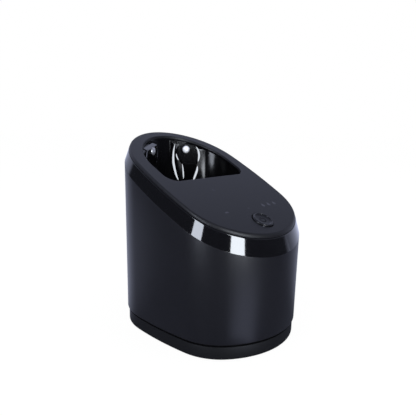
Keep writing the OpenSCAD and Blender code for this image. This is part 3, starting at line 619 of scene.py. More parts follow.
def row_maker():
    """Copies of one pattern piece in a row along X, centred on the middle."""
    row = Repeater("row_of_pieces", {
        "Pattern": "NodeSocketObject", "Count": "NodeSocketInt", "Pitch": "NodeSocketFloat",
        "Material": "NodeSocketMaterial"})
    first = (row.given("Count") - 1) * row.given("Pitch") * -0.5
    start = row.add("ShaderNodeCombineXYZ", {}, {0: first})
    step = row.add("ShaderNodeCombineXYZ", {}, {0: row.given("Pitch")})
    line = row.add("GeometryNodeMeshLine", {}, {
        "Count": row.given("Count"), "Start Location": start, "Offset": step})
    pattern = row.add("GeometryNodeObjectInfo", {}, {0: row.given("Pattern")}, output=4)
    row.close(row.add("GeometryNodeInstanceOnPoints", {}, {
        "Points": line, "Instance": pattern}))
    return row


def corner_maker():
    """Copies of one pattern piece on the four corners of a rectangle."""
    corners = Repeater("pieces_on_corners", {
        "Pattern": "NodeSocketObject", "Width": "NodeSocketFloat", "Length": "NodeSocketFloat",
        "Material": "NodeSocketMaterial"})
    grid = corners.add("GeometryNodeMeshGrid", {}, {
        "Size X": corners.given("Width"), "Size Y": corners.given("Length"),
        "Vertices X": 2, "Vertices Y": 2})
    pattern = corners.add("GeometryNodeObjectInfo", {}, {0: corners.given("Pattern")}, output=4)
    corners.close(corners.add("GeometryNodeInstanceOnPoints", {}, {
        "Points": grid, "Instance": pattern}))
    return corners


ROW = row_maker()
CORNERS = corner_maker()


# ------------------------------------------------------------------ fitting pieces to the frame

def settle(piece, body, stands_for, finish):
    """Gives a finished piece its material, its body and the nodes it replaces."""
    piece.data.materials.clear()
    piece.data.materials.append(finish.material)
    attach(piece, body)
    if stands_for:
        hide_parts(*stands_for)
    return piece


def even_shading(piece, weight=50):
    """Keeps wide flat faces evenly lit beside narrow rounded edges."""
    modifier = piece.modifiers.new("even_shading", "WEIGHTED_NORMAL")
    modifier.keep_sharp = True
    modifier.weight = weight


# ------------------------------------------------------------------ housing

FOOT_ROUND = 0.00045
RIM_ROUND = 0.0003
CUT_DEPTH = 0.03


def housing_wall():
    """The outer wall: drawn in at its foot, ruled up to the slanted rim."""
    outside = [flat_ring(oval(DRAFT + across), HOUSING_Z + FOOT_ROUND - up)
               for across, up in reversed(quarter_round(FOOT_ROUND))]
    rim = [slant_ring(oval(across), up - RIM_ROUND) for across, up in quarter_round(RIM_ROUND, 4)]
    inside = [slant_ring(oval(WALL), 0), flat_ring(oval(WALL), HOUSING_Z)]
    return loft("housing_wall", outside + rim + inside, closed=True)


def on_rear_wall(x, z, turn=90):
    """Frame on the rear wall: its third axis points inwards, or outwards with a turn of -90."""
    return Matrix.Translation((x, HALF_L, z)) @ Matrix.Rotation(math.radians(turn), 4, "X")


def rear_cutter(name, width, height, radius, x, z):
    """A rounded bar that pierces the rear wall from front to back."""
    bar = prism(name, rounded_rectangle(width, height, radius), -CUT_DEPTH, CUT_DEPTH)
    bar.data.transform(on_rear_wall(x, z))
    return bar


LIFT_BUTTON_W, LIFT_BUTTON_H, LIFT_BUTTON_Z, LIFT_BUTTON_R = 0.026, 0.011, 0.084, 0.003
INLET_X, INLET_Z = 0.022, 0.070
INLET_W, INLET_H, INLET_R, INLET_WALL = 0.015, 0.009, 0.003, 0.0016
VENT_X, VENT_Z, VENT_W, VENT_H, VENT_PITCH, VENT_COUNT = -0.026, 0.0695, 0.002, 0.014, 0.004, 6

vent_pattern = prism("vent_pattern", rounded_rectangle(VENT_W, VENT_H, VENT_W / 2 - 0.00001),
                     -CUT_DEPTH, CUT_DEPTH)
vents = ROW.make("vents", on_rear_wall(VENT_X, VENT_Z), Pattern=vent_pattern, Count=VENT_COUNT,
                 Pitch=VENT_PITCH, Material=housing_finish.material)
button_hole = rear_cutter("button_hole", LIFT_BUTTON_W + 2 * BUTTON_GAP,
                          LIFT_BUTTON_H + 2 * BUTTON_GAP, LIFT_BUTTON_R + BUTTON_GAP,
                          0, LIFT_BUTTON_Z)
inlet_hole = rear_cutter("inlet_hole", INLET_W + 2 * INLET_WALL, INLET_H + 2 * INLET_WALL,
                         INLET_R + INLET_WALL, INLET_X, INLET_Z)
housing = combine(housing_wall(), [button_hole, inlet_hole, vents])
settle(housing, "housing", ["housing_shell"], housing_finish)


# ------------------------------------------------------------------ trim band

BAND_FOOT_ROUND, BAND_TOP_ROUND = 0.0004, 0.0005


def trim_ring():
    """The glossy band: leaning face, rounded edges, a skirt that plugs into the housing."""
    lean = BAND_LEAN / BAND_H
    rings = [slant_ring(oval(BAND_FOOT_ROUND - across), BAND_FOOT_ROUND - up)
             for up, across in quarter_round(BAND_FOOT_ROUND)]
    rings += [slant_ring(oval(BAND_LEAN - lean * BAND_TOP_ROUND + across), BAND_H - BAND_TOP_ROUND + up)
              for across, up in quarter_round(BAND_TOP_ROUND)]
    rings += [slant_ring(oval(BAND_T), BAND_H), slant_ring(oval(BAND_T), -BAND_SKIRT),
              slant_ring(oval(WALL), -BAND_SKIRT), slant_ring(oval(WALL), 0)]
    return loft("trim_ring", rings, closed=True, smooth_deg=40)


trim = trim_ring()
settle(trim, "housing", ["trim_band"], trim_finish)


# ------------------------------------------------------------------ pocket outline

def dee_rear(half, front, rear, radius, steps=72):
    """The D's curved rear from +X round to -X, as in the solid it stands for."""
    turns = np.linspace(0, math.pi, steps)
    squash = min(1, (rear - front - radius) / half)
    middle = max(rear - half, front + radius)
    return np.column_stack([half * np.cos(turns), middle + half * squash * np.sin(turns)])


def dee_front(half, front, radius, steps=14, edge_steps=50):
    """The D's front corners and straight front edge, from -X to +X."""
    turns = np.radians(np.linspace(180, 270, steps))
    left = np.column_stack([-half + radius + radius * np.cos(turns),
                            front + radius + radius * np.sin(turns)])
    edge_x = np.linspace(-half + radius, half - radius, edge_steps)[1:-1]
    edge = np.column_stack([edge_x, np.full(len(edge_x), front)])
    right = left[::-1] * [-1, 1]
    return np.concatenate([left, edge, right])


def dee(grow=0.0):
    """The pocket's mouth in plan, grown outwards."""
    half, front, rear = POCKET_HALF + grow, POCKET_FRONT_Y - grow, POCKET_REAR_Y + grow
    radius = POCKET_CORNER_R + grow
    return np.concatenate([dee_rear(half, front, rear, radius), dee_front(half, front, radius)[1:-1]])


# ------------------------------------------------------------------ top panel

PANEL_FOOT = 0.0004
PANEL_SIDE = 0.0008        # height of the panel's upright side, below its rounded rim
MOUTH_ROUND = 0.0006
WELL_R = BUTTON_D / 2 + BUTTON_GAP
WELL_BEVEL = 0.0006
WELL_DEPTH = 0.01
ABOVE_PANEL = 0.004


def panel_slab():
    """The slanted panel with its rounded rim."""
    start = BAND_LEAN + PANEL_GROOVE
    rings = [slant_ring(oval(start + PANEL_FOOT), BAND_H), slant_ring(oval(start), BAND_H + PANEL_FOOT)]
    for turn in np.linspace(0, math.pi / 2, 8):
        rings.append(slant_ring(oval(start + PANEL_EDGE * (1 - math.cos(turn))),
                                BAND_H + PANEL_SIDE + (PANEL_T - PANEL_SIDE) * math.sin(turn)))
    return loft("panel_slab", rings, smooth_deg=40)


def mouth_cutter():
    """The D that is cut from the panel, flared into a rounded lip at the face."""
    face = BAND_H + PANEL_T
    rings = [flat_ring(dee(), 0.06), slant_ring(dee(), face - MOUTH_ROUND)]
    rings += [slant_ring(dee(across), face - MOUTH_ROUND + up)
              for across, up in quarter_round(MOUTH_ROUND, 6)[1:]]
    rings.append(slant_ring(dee(MOUTH_ROUND + 0.00002), face + 0.02))
    return loft("mouth_cutter", rings)


def well_cutter():
    """The start button's well with its flared edge."""
    return lathe("well_cutter", [
        (0, -WELL_DEPTH), (WELL_R, -WELL_DEPTH), (WELL_R, -WELL_BEVEL), (WELL_R + 0.00025, -0.00025),
        (WELL_R + WELL_BEVEL, 0.00001), (WELL_R + WELL_BEVEL, ABOVE_PANEL), (0, ABOVE_PANEL)],
        panel_place(BUTTON_Y))


panel = combine(panel_slab(), [mouth_cutter(), well_cutter()])
even_shading(panel, weight=100)
settle(panel, "housing", ["top_panel"], panel_finish)


# ------------------------------------------------------------------ pocket insert

SPOUT_R, SPOUT_BORE_R, SPOUT_LOW_Z = 0.0048, 0.0038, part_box("cradle_bowl")[0].z
DRAIN_Y = POCKET_FRONT_Y + 0.0275
FLAT_END_Z = 0.086         # below this the angled flats fade into the round basin
FLAT_FULL_Z = 0.096
FLAT_TOP_DROP = 0.0008     # from the panel's underside to the flats' top edge
UPRIGHT_Z = 0.110          # above this the rings tip towards the slope of the top
MOUTH_Z = UPRIGHT_Z + 0.025    # the plan at this height is carried up to the mouth
FLANGE_W, FLANGE_T = 0.0025, 0.0016

# height over the pocket's floor, draw-in all round, further draw-in of the rear
BASIN = np.array([
    (0, 27, 4), (1.5, 22, 5), (6, 15, 6), (13, 8, 5), (21, 3, 4), (32, 0.8, 1), (44, 0, 0),
    (60, 0, 0)]) / 1000
POCKET_FLOOR_Z = POCKET_BOTTOM_Z + BOWL_WALL


def basin_at(z):
    """Draw-in all round and of the rear at that height, with the corners worn round."""
    around = np.clip(z - POCKET_FLOOR_Z + np.linspace(-0.003, 0.003, 13), 0, 0.06)
    sides, rear = (np.interp(around, BASIN[:, 0], BASIN[:, i]).mean() for i in (1, 2))
    return sides, rear


def groove_half(z):
    """Half the width of the groove between the flats: waisted, and wider downwards."""
    return np.interp(z, (0.104, 0.116, 0.122, 0.130, 0.138, 0.150),
                     (0.0165, 0.0137, 0.0116, 0.0097, 0.0093, 0.0104))


def worn(points, passes=7):
    """A closed outline with its corners rounded by about a millimetre."""
    for _ in range(passes):
        points = (np.roll(points, 1, 0) + 2 * points + np.roll(points, -1, 0)) / 4
    return points


def spread(start, end, count):
    return np.linspace(start, end, count, endpoint=False)


SIDE_STEPS, FLAT_STEPS, WALL_STEPS, BACK_STEPS = 46, 30, 9, 34


def pocket_section(z, flats):
    """The pocket's inside in plan; flats from 0 to 1 brings in the angled flats of the rear."""
    sides, rear_in = basin_at(z)
    half = POCKET_HALF - sides
    front = POCKET_FRONT_Y + max(sides - 0.008, 0) * 0.75
    rear = POCKET_REAR_Y - sides - rear_in
    radius = min(POCKET_CORNER_R, half * 0.6)
    squash = min(1, (rear - front - radius) / half)
    middle = max(rear - half, front + radius)

    def on_dee(x):
        return middle + half * squash * np.sqrt(np.clip(1 - (x / half) ** 2, 0, 1))

    edge = min(groove_half(z), half * 0.5)
    reach = np.linspace(edge, half * 0.999, 400)
    flat_y = GROOVE_Y - (reach - GROOVE_X) * math.tan(CONTACT_TURN)
    meets = reach[np.argmax(flat_y < on_dee(reach))] if (flat_y < on_dee(reach)).any() else edge
    leave = reach[len(reach) - 1 - np.argmax((flat_y < on_dee(reach))[::-1])]
    turn = math.acos(min(leave / half, 1))
    side_turns = spread(0, turn, SIDE_STEPS)
    side = np.column_stack([half * np.cos(side_turns), middle + half * squash * np.sin(side_turns)])

    flat_x = spread(leave, edge, FLAT_STEPS)
    flat = np.column_stack([flat_x, GROOVE_Y - (flat_x - GROOVE_X) * math.tan(CONTACT_TURN)])
    wall_y = spread(GROOVE_Y - (edge - GROOVE_X) * math.tan(CONTACT_TURN), on_dee(edge), WALL_STEPS)
    wall = np.column_stack([np.full(WALL_STEPS, edge), wall_y])
    back_x = np.linspace(edge, 0, BACK_STEPS)
    back = np.column_stack([back_x, on_dee(back_x)])
    with_flats = np.concatenate([flat, wall, back])

    plain_x = np.concatenate([spread(leave, edge + 0.001, FLAT_STEPS),
                              spread(edge + 0.001, edge, WALL_STEPS), back_x])
    plain = np.column_stack([plain_x, on_dee(plain_x)])
    rear_half = np.concatenate([side, flats * with_flats + (1 - flats) * plain])
    rear_whole = np.concatenate([rear_half, rear_half[-2::-1] * [-1, 1]])
    return worn(np.concatenate([rear_whole, dee_front(half, front, radius)[1:-1]]))


def smooth_step(value, low, high):
    share = min(max((value - low) / (high - low), 0), 1)
    return share * share * (3 - 2 * share)


def tipped_ring(plan, share, rise):
    """A ring between level, at UPRIGHT_Z, and the slanted plane at that rise."""
    top = BAND_MID_H + SLOPE * plan[:, 1] + rise
    return np.column_stack([plan, UPRIGHT_Z + (top - UPRIGHT_Z) * share])


def pocket_inside():
    """Rings from the pocket's floor up to its mouth."""
    rings = []
    for z in np.concatenate([POCKET_FLOOR_Z + np.array([0, 0.0002, 0.0006, 0.0012]),
                             np.arange(POCKET_FLOOR_Z + 0.002, UPRIGHT_Z - 0.001, 0.0018)]):
        flats = smooth_step(z, FLAT_END_Z, FLAT_FULL_Z)
        rings.append(flat_ring(pocket_section(z, flats), z))
    ledge = BAND_H - FLAT_TOP_DROP
    for share in np.linspace(0, 0.98, 12):
        z = UPRIGHT_Z + share * (MOUTH_Z - UPRIGHT_Z)
        rings.append(tipped_ring(pocket_section(z, 1), share, ledge - 0.0006))
    full, bare = pocket_section(MOUTH_Z, 1), pocket_section(MOUTH_Z, 0)
    for flats, drop in ((1, 0.0006), (0.985, 0.00035), (0.95, 0.00015), (0.88, 0.00004), (0.8, 0),
                        (0.3, 0), (0.06, 0), (0, -0.0001)):
        rings.append(slant_ring(full * flats + bare * (1 - flats), ledge - drop))
    rings.append(slant_ring(bare, BAND_H))
    return rings


def pocket_outside():
    """Rings from the mouth's flange down the outer wall to the insert's underside."""
    def grown(z, grow):
        plan = pocket_section(z, 0)
        centre = plan.mean(0)
        away = plan - centre
        return plan + away / np.linalg.norm(away, axis=1, keepdims=True) * grow
    top = grown(MOUTH_Z, BOWL_WALL)
    flange = grown(MOUTH_Z, BOWL_WALL + FLANGE_W)
    rings = [slant_ring(flange, BAND_H), slant_ring(flange, BAND_H - FLANGE_T),
             slant_ring(top, BAND_H - FLANGE_T), flat_ring(top, UPRIGHT_Z)]
    for z in np.arange(UPRIGHT_Z - 0.003, POCKET_FLOOR_Z + 0.002, -0.004):
        rings.append(flat_ring(grown(z, BOWL_WALL), z - 0.0005))
    rings.append(flat_ring(grown(POCKET_FLOOR_Z + 0.0012, BOWL_WALL), POCKET_BOTTOM_Z + 0.0004))
    rings.append(flat_ring(grown(POCKET_FLOOR_Z, BOWL_WALL * 0.6), POCKET_BOTTOM_Z))
    return rings


# the contact pad's outline, in millimetres along and up the flat from the contact
PAD_OUTLINE = [(-6.5, 7), (-9.2, 2), (-9.2, -2.7), (-8.6, -6.3), (-6.8, -10.1), (-4.4, -12.5),
               (-3.4, -15.7), (-2.4, -20.7), (-1.8, -26.7), (-1.4, -31.7), (2.5, -32.7),
               (6.6, -31.7), (7.9, -27.5), (9.9, -21.9), (11.2, -17.4), (11, -14), (11.9, -10.6),
               (12.3, -4.6), (10.4, 1.2), (7.5, 7), (0, 8.5)]
# the bevels along its edges: path in the same way, width in millimetres, stand over the flat
BEVELS = [
    ([(-9, -3.7), (-8.4, -6.6), (-6.8, -10)], 1.0, 0.001),
    ([(-3.4, -12.9), (-2.6, -17), (-2.2, -21.9), (-2, -27.2)], 1.2, 0.001),
    ([(9.8, 2.3), (11.8, -1), (12.6, -4.6), (12.6, -8), (11.8, -11.4)], 1.7, 0.001),
    ([(11.4, -15.6), (10.6, -19.5), (9.2, -23.4), (7.6, -28.8)], 2.6, 0.001),
    ([(-9.9, 5.2), (-11.2, -1.6), (-11.5, -8.7), (-10.9, -14.7), (-8.8, -23.1), (-6.6, -28.4)], 1.8, 0)]
PAD_ROOT = 0.003           # how deep the pad sits in the flat
PAD_EDGE = 0.0011
CONTACT_GAP = 0.0003


def curve(points, steps, closed=False):
    """A smooth curve through the points."""
    points = np.array(points, float)
    if closed:
        padded = np.concatenate([points[-1:], points, points[:2]])
    else:
        padded = np.concatenate([2 * points[:1] - points[1:2], points,
                                 2 * points[-1:] - points[-2:-1]])
    out = []
    for p0, p1, p2, p3 in zip(padded, padded[1:], padded[2:], padded[3:]):
        for t in np.linspace(0, 1, steps, endpoint=False):
            out.append(0.5 * (2 * p1 + (p2 - p0) * t + (2 * p0 - 5 * p1 + 4 * p2 - p3) * t ** 2
                              + (3 * p1 - p0 - 3 * p2 + p3) * t ** 3))
    if not closed:
        out.append(padded[-2])
    return np.array(out)


def outwards(plan):
    """Unit normals of a closed anticlockwise outline."""
    along = np.roll(plan, -1, 0) - np.roll(plan, 1, 0)
    along /= np.linalg.norm(along, axis=1, keepdims=True)
    return np.column_stack([along[:, 1], -along[:, 0]])


def contact_pad(side):
    """The raised pad with a rounded edge and a ring gap for its contact."""
    plan = curve(PAD_OUTLINE, 6, closed=True) * [side / 1000, 1 / 1000]
    if side < 0:
        plan = plan[::-1]
    away = outwards(plan)
    rise = PAD_T + 0.0001
    rings = [flat_ring(plan, -PAD_ROOT)]
    for turn in np.linspace(0, math.pi / 2, 7):
        rings.append(flat_ring(plan - away * PAD_EDGE * (1 - math.cos(turn)), rise * math.sin(turn)))
    rings.append(flat_ring(plan - away * (PAD_EDGE + 0.0003), rise))
    pad = loft("pad", rings)
    pad.data.transform(contact_place(side))
    gap_r = CONTACT_R + CONTACT_GAP
    gap = lathe("gap", [(0, 0.0001), (gap_r, 0.0001), (gap_r, 0.0012),
                        (gap_r + CONTACT_GAP, 0.004), (0, 0.004)], contact_place(side), 48)
    above = loft("above", [slant_ring(oval(-0.01), BAND_H + up) for up in (-0.0001, 0.03)])
    combine(pad, [gap, above])
    tip_gloss(pad, 0, share=0, tops=0.5 if side > 0 else 2)
    return pad


def pad_bevel(side, points, width, stand):
    """A slim bevel along a pad's edge, tapered to its ends."""
    line = curve(np.array(points) * [side / 1000, 1 / 1000], 8)
    along = np.gradient(line, axis=0)
    along /= np.linalg.norm(along, axis=1, keepdims=True)
    across = np.column_stack([-along[:, 1], along[:, 0]])
    share = np.linspace(0, 1, len(line))[:, None]
    half = width / 2000 * (0.08 + np.sin(math.pi * share ** 1.15) ** 0.6)
    corners = [(-1, -0.0002), (0, 0.0001), (1, -0.0002), (0, -0.0004)]
    rings = [np.array([(*(line[i] + across[i] * half[i] * c), stand + 0.0001 + w) for c, w in corners])
             for i in range(len(line))]
    bevel = loft("pad_bevel", rings)
    bevel.data.transform(contact_place(side))
    return bevel


def corner_data(piece):
    """Where each face corner of a piece lies and its normal."""
    mesh = piece.data
    place = np.array([tuple(mesh.vertices[loop.vertex_index].co) for loop in mesh.loops])
    return place, np.array([tuple(corner.vector) for corner in mesh.corner_normals])


def shade_with(piece, normals):
    piece.data.normals_split_custom_set([Vector(n).normalized() for n in normals])


def tip_gloss(piece, lift, share=1.0, tops=0.5, groove_lift=None):
    """Shades a piece on a flat as leaning back by the lift, and its tops as the flat itself."""
    place, own = corner_data(piece)
    if groove_lift:
        at_groove = (place[:, 0] < 0) * (place[:, 0] > -GROOVE_REACH)
        lift = np.where(at_groove, groove_lift, lift)
    face = np.column_stack([-math.sin(CONTACT_TURN) * np.sign(place[:, 0]),
                            np.full(len(place), -math.cos(CONTACT_TURN)), np.zeros(len(place))])
    own = np.where(own[:, 2:] > tops, face, own)
    raised = np.column_stack([np.zeros((len(place), 2)), np.full(len(place), lift)])
    shade_with(piece, own * (1 - share) + face * share + raised)


# soft gleams down the pocket's rear corners: distance from the middle, half width, heading, and
# the lean of the wall at some heights
GLEAMS = [(0.0352, 0.0019, 30,
           ((0.118, 0.16), (0.124, 0.13), (0.130, 0.06), (0.138, 0), (0.146, -0.05))),
          (0.0391, 0.0012, 60, ((0.119, 0), (0.124, 0.06), (0.130, 0.1), (0.146, 0.08)))]
BRIGHT_LEDGE_X = -0.018


def wall_gleams(piece):
    """Shades the pocket's corners as leaning back a little, as their moulded draft does.

    The ledge over the flats is shaded as the wall below it, apart from its left end.
    """
    place, normal = corner_data(piece)
    wall = ((np.abs(normal[:, 2]) < 0.5) * (normal[:, 1] < 0)
            * (place[:, 2] > POCKET_BOTTOM_Z + 0.02))
    for middle, half, heading, lean in GLEAMS:
        share = (np.exp(-((np.abs(place[:, 0]) - middle) / half) ** 2) * wall)[:, None]
        turn = math.radians(heading)
        tipped = np.column_stack([-math.sin(turn) * np.sign(place[:, 0]),
                                  np.full(len(place), -math.cos(turn)),
                                  np.interp(place[:, 2], *zip(*lean))])
        normal = normal * (1 - share) + tipped * share
    ledge = ((normal[:, 2:] > 0.5) * (place[:, 2:] > UPRIGHT_Z + 0.02)
             * (place[:, :1] > BRIGHT_LEDGE_X))
    shade_with(piece, np.where(ledge, [0, -1, -0.1], normal))


def mouth_lining():
    """The insert's thin black lip over the lower half of the panel's mouth; it also darkens that wall as
    painted shade, and its shading normals lean down to mirror the dark floor.
    """
    low, high = BAND_H - 0.0002, BAND_H + 0.0013
    lining_and_shade = loft("mouth_lining", [slant_ring(dee(-inwards), up) for inwards, up in (
        (0.0001, low), (0.0004, low), (0.0004, high - 0.0002), (0.0002, high), (0.0001, high))],
        closed=True)
    tip_gloss(lining_and_shade, -0.2, share=0, tops=2)
    return lining_and_shade


insert = loft("pocket_insert", pocket_inside() + pocket_outside())
combine(insert, [rod("spout", SPOUT_R, SPOUT_LOW_Z, POCKET_BOTTOM_Z + 0.001, y=DRAIN_Y)], "UNION")
combine(insert, [
    rod("spout_bore", SPOUT_BORE_R, SPOUT_LOW_Z - 0.001, POCKET_FLOOR_Z + 0.01, y=DRAIN_Y),
    rod("fill_bore", 0.0015, POCKET_BOTTOM_Z - 0.001, POCKET_BOTTOM_Z + 0.012, 0.008,
        POCKET_FRONT_Y + 0.0205)])
wall_gleams(insert)
# the black lining also darkens the mouth's wall as painted shade
join(insert, [mouth_lining()])
settle(insert, "housing", ["cradle_bowl"], bowl_finish)

pads = join(contact_pad(1), [contact_pad(-1)])
pads.name = "contact_pads"
settle(pads, "housing", [], pad_finish)
bevels = [pad_bevel(side, *bevel) for side in (1, -1) for bevel in BEVELS]
pad_edges = join(bevels[0], bevels[1:])
pad_edges.name = "pad_bevels"
tip_gloss(pad_edges, 0.255, groove_lift=1.15)
settle(pad_edges, "housing", [], pad_finish)


# ------------------------------------------------------------------ charging contacts

CONTACT_RISE = 0.0017
TAIL_R, TAIL_END, SHOULDER = 0.0014, 0.0093, 0.0026


def contact_dome(side, name):
    """A polished, sprung contact: a tail, a shoulder and a domed face."""
    face = PAD_T + CONTACT_RISE
    dome = CONTACT_RISE * 0.55
    profile = [(0, -TAIL_END), (TAIL_R, -TAIL_END), (TAIL_R, -SHOULDER), (CONTACT_R, -SHOULDER),
               (CONTACT_R, face - dome - 0.0001)]
    ball = (CONTACT_R ** 2 + dome ** 2) / (2 * dome)
    limit = math.asin(CONTACT_R / ball)
    profile += [(ball * math.sin(t), face - ball + ball * math.cos(t))
                for t in np.linspace(limit, 0, 12)]
    return lathe(name, profile, contact_place(side), 64)


for side, name in ((-1, "contact_left"), (1, "contact_right")):
    dome = contact_dome(side, "dome_" + name)
    tip_gloss(dome, 0.1, share=0.45, tops=2)
    settle(dome, name, [name], contact_finish)


# ------------------------------------------------------------------ start button and panel marks

CAP_R = BUTTON_D / 2
CAP_ROUND = 0.0008
CAP_SKIRT = 0.0012         # width and thickness of the collar under the panel
STEM_R, STEM_END = 0.0016, 0.0058


def start_cap():
    """The start button: a dished cap with a rounded rim, its skirt and its stem."""
    r, rise = CAP_R, BUTTON_RISE
    under = -PANEL_T * math.cos(math.radians(SLOPE_DEG)) - 0.0004
    profile = [(0, -STEM_END), (STEM_R, -STEM_END), (STEM_R, under - CAP_SKIRT),
               (r + CAP_SKIRT, under - CAP_SKIRT), (r + CAP_SKIRT, under), (r, under),
               (r, rise - CAP_ROUND)]
    profile += [(r - across, rise - CAP_ROUND + up) for across, up in quarter_round(CAP_ROUND, 7)[1:]]
    profile += [(r - 0.0011, rise - 0.00004), (r - 0.0016, rise - 0.0003), (r - 0.0021, rise - 0.00055),
                (r - 0.0028, rise - BUTTON_DISH + 0.00006), (r * 0.4, rise - BUTTON_DISH),
                (0, rise - BUTTON_DISH)]
    return lathe("start_cap", profile, panel_place(BUTTON_Y), 128)


def arc_band(radius, width, start, stop, steps=40):
    """Plan of an arc of that width, in degrees from +X."""
    turns = np.radians(np.linspace(start, stop, steps))
    outer = np.column_stack([np.cos(turns), np.sin(turns)]) * (radius + width / 2)
    inner = np.column_stack([np.cos(turns), np.sin(turns)]) * (radius - width / 2)
    return np.concatenate([outer, inner[::-1]])


INK_T, INK_ROOT = 0.00003, 0.0003


def power_icon():
    """The printed ring with a bar in its gap that marks a start button."""
    top = BUTTON_RISE - BUTTON_DISH + INK_T
    ring = prism("icon_ring", arc_band(0.0024, 0.0007, 125, 415), top - INK_ROOT, top)
    bar = box("icon_bar", (-0.00034, 0.0007, top - INK_ROOT), (0.00034, 0.0033, top))
    join(ring, [bar])
    ring.data.transform(panel_place(BUTTON_Y))
    return ring


def drop_plan(radius):
    """A drop: a round bottom that draws up to a point."""
    turns = np.radians(np.linspace(-220, 40, 28))
    bowl = np.column_stack([np.cos(turns), np.sin(turns)]) * radius
    return np.concatenate([bowl, [(0, radius * 2.1)]])


MARK_Y = BUTTON_Y + 0.0142
DROP_R, DROP_PITCH, DROPS_X = 0.0015, 0.00705, 0.02475

drop_pattern = prism("drop_pattern", drop_plan(DROP_R), -INK_ROOT, INK_T)
level_marks = ROW.make("level_marks", panel_place(MARK_Y) @ Matrix.Translation((DROPS_X, 0, 0)),
                       Pattern=drop_pattern, Count=3, Pitch=DROP_PITCH,
                       Material=mark_finish.material)
settle(level_marks, "housing", [], mark_finish)


def small_mark(name, plan, x, y):
    mark = prism(name, np.array(plan), -INK_ROOT, INK_T)
    mark.data.transform(panel_place(y) @ Matrix.Translation((x, 0, 0)))
    return mark


def battery_plan(width, height):
    """A plain battery outline with its nub, as on any charger."""
    w, h, nub = width / 2, height / 2, height * 0.22
    return [(-w, -h), (w, -h), (w, -nub), (w + nub, -nub), (w + nub, nub), (w, nub), (w, h), (-w, h)]


charge_mark = small_mark("charge_mark", battery_plan(0.0030, 0.0015), -0.0245, MARK_Y)
ready_mark = small_mark("ready_mark", rounded_rectangle(0.0012, 0.0012, 0.0005), 0.0001, MARK_Y)
sense_mark = small_mark("sense_mark", arc_band(0.0011, 0.0003, 0, 300), -0.0125, -0.0163)
join(ready_mark, [charge_mark, sense_mark])
ready_mark.name = "panel_marks"
settle(ready_mark, "housing", [], mark_finish)


BEAD_R, BEAD_INSET, BEAD_DROP = 0.00042, 0.0010, 0.00022


def cap_bead():
    """The polished bead round the start button's cap."""
    section = [(CAP_R - BEAD_INSET + BEAD_R * math.cos(t), BUTTON_RISE - BEAD_DROP + BEAD_R * math.sin(t))
               for t in np.linspace(0, 2 * math.pi, 12, endpoint=False)]
    rings = [np.array([(out * math.cos(turn), out * math.sin(turn), up) for out, up in section])
             for turn in np.linspace(0, 2 * math.pi, 128, endpoint=False)]
    ring = loft("cap_bead", rings, closed=True, smooth_deg=60)
    ring.data.transform(panel_place(BUTTON_Y))
    return ring


settle(start_cap(), "start_button", ["start_button"], button_finish)
settle(cap_bead(), "start_button", [], bead_finish)
settle(power_icon(), "start_button", [], ink_finish)

# a small light pip on the well's front-left edge: its light colour is a painted glint, not a lamp
glint_pip = lathe("start_pip", [(0, -0.001), (0.0006, -0.001), (0.0006, -0.0001), (0.0004, 0.0001),
                          (0, 0.00018)],
            panel_place(BUTTON_Y) @ Matrix.Rotation(math.radians(-42), 4, "Z")
            @ Matrix.Translation((0, -WELL_R - 0.0004, 0)), 24)
settle(glint_pip, "housing", [], glint_pip_finish)


# ------------------------------------------------------------------ lift button, back

LIFT_CAP_DEPTH = 0.005
LIFT_CAP_SINK = 0.001
LIFT_CAP_ROUND = 0.0006
LIFT_RIM = 0.00095


def lift_cap():
    """The lift button: a rounded face, ribs across it, a rim and a stem."""
    def plan(grow):
        return rounded_rectangle(LIFT_BUTTON_W + 2 * grow, LIFT_BUTTON_H + 2 * grow, LIFT_BUTTON_R + grow)
    depth = LIFT_CAP_DEPTH
    face, small = plan(0), plan(-LIFT_CAP_ROUND)
    rings = [flat_ring(face, -depth), flat_ring(face, -LIFT_CAP_SINK)]
    for across, up in quarter_round(LIFT_CAP_ROUND):
        share = across / LIFT_CAP_ROUND
        rings.append(flat_ring(face * (1 - share) + small * share, up - LIFT_CAP_SINK))
    cap = loft("lift_cap", rings)
    rim = prism("rim", plan(LIFT_RIM), -depth - 0.0006, -depth + 0.0006)
    stem_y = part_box("lift_button")[0].y + 0.002 - HALF_L
    stem = lathe("stem", [(0, stem_y - 0.002), (0.0014, stem_y - 0.0014), (0.002, stem_y),
                          (0.002, -depth), (0, -depth)], steps=32)
    rib = prism("rib", rounded_rectangle(0.0007, 0.0062, 0.00034), -0.0007, -0.00015)
    ribs = ROW.make("ribs", Pattern=rib, Count=7, Pitch=0.0026, Material=housing_finish.material)
    join(cap, [rim, stem, ribs])
    cap.data.transform(on_rear_wall(0, LIFT_BUTTON_Z, -90))
    tidy_mesh(cap)
    return cap


settle(lift_cap(), "lift_button", ["lift_button"], base_finish)


# ------------------------------------------------------------------ base

FOOT_X, FOOT_Y = HALF_W - 0.0215, HALF_L - 0.031
FOOT_R, FOOT_SEAT_R = 0.006, 0.0061
POST_X, POST_Y = HALF_W - 0.0109, -0.018
SCREW_SEAT_R = 0.0032
LIP_ROUND = 0.0002
TONGUE_GAP, TONGUE_T, TONGUE_RISE = 0.0025, 0.0016, 0.0014


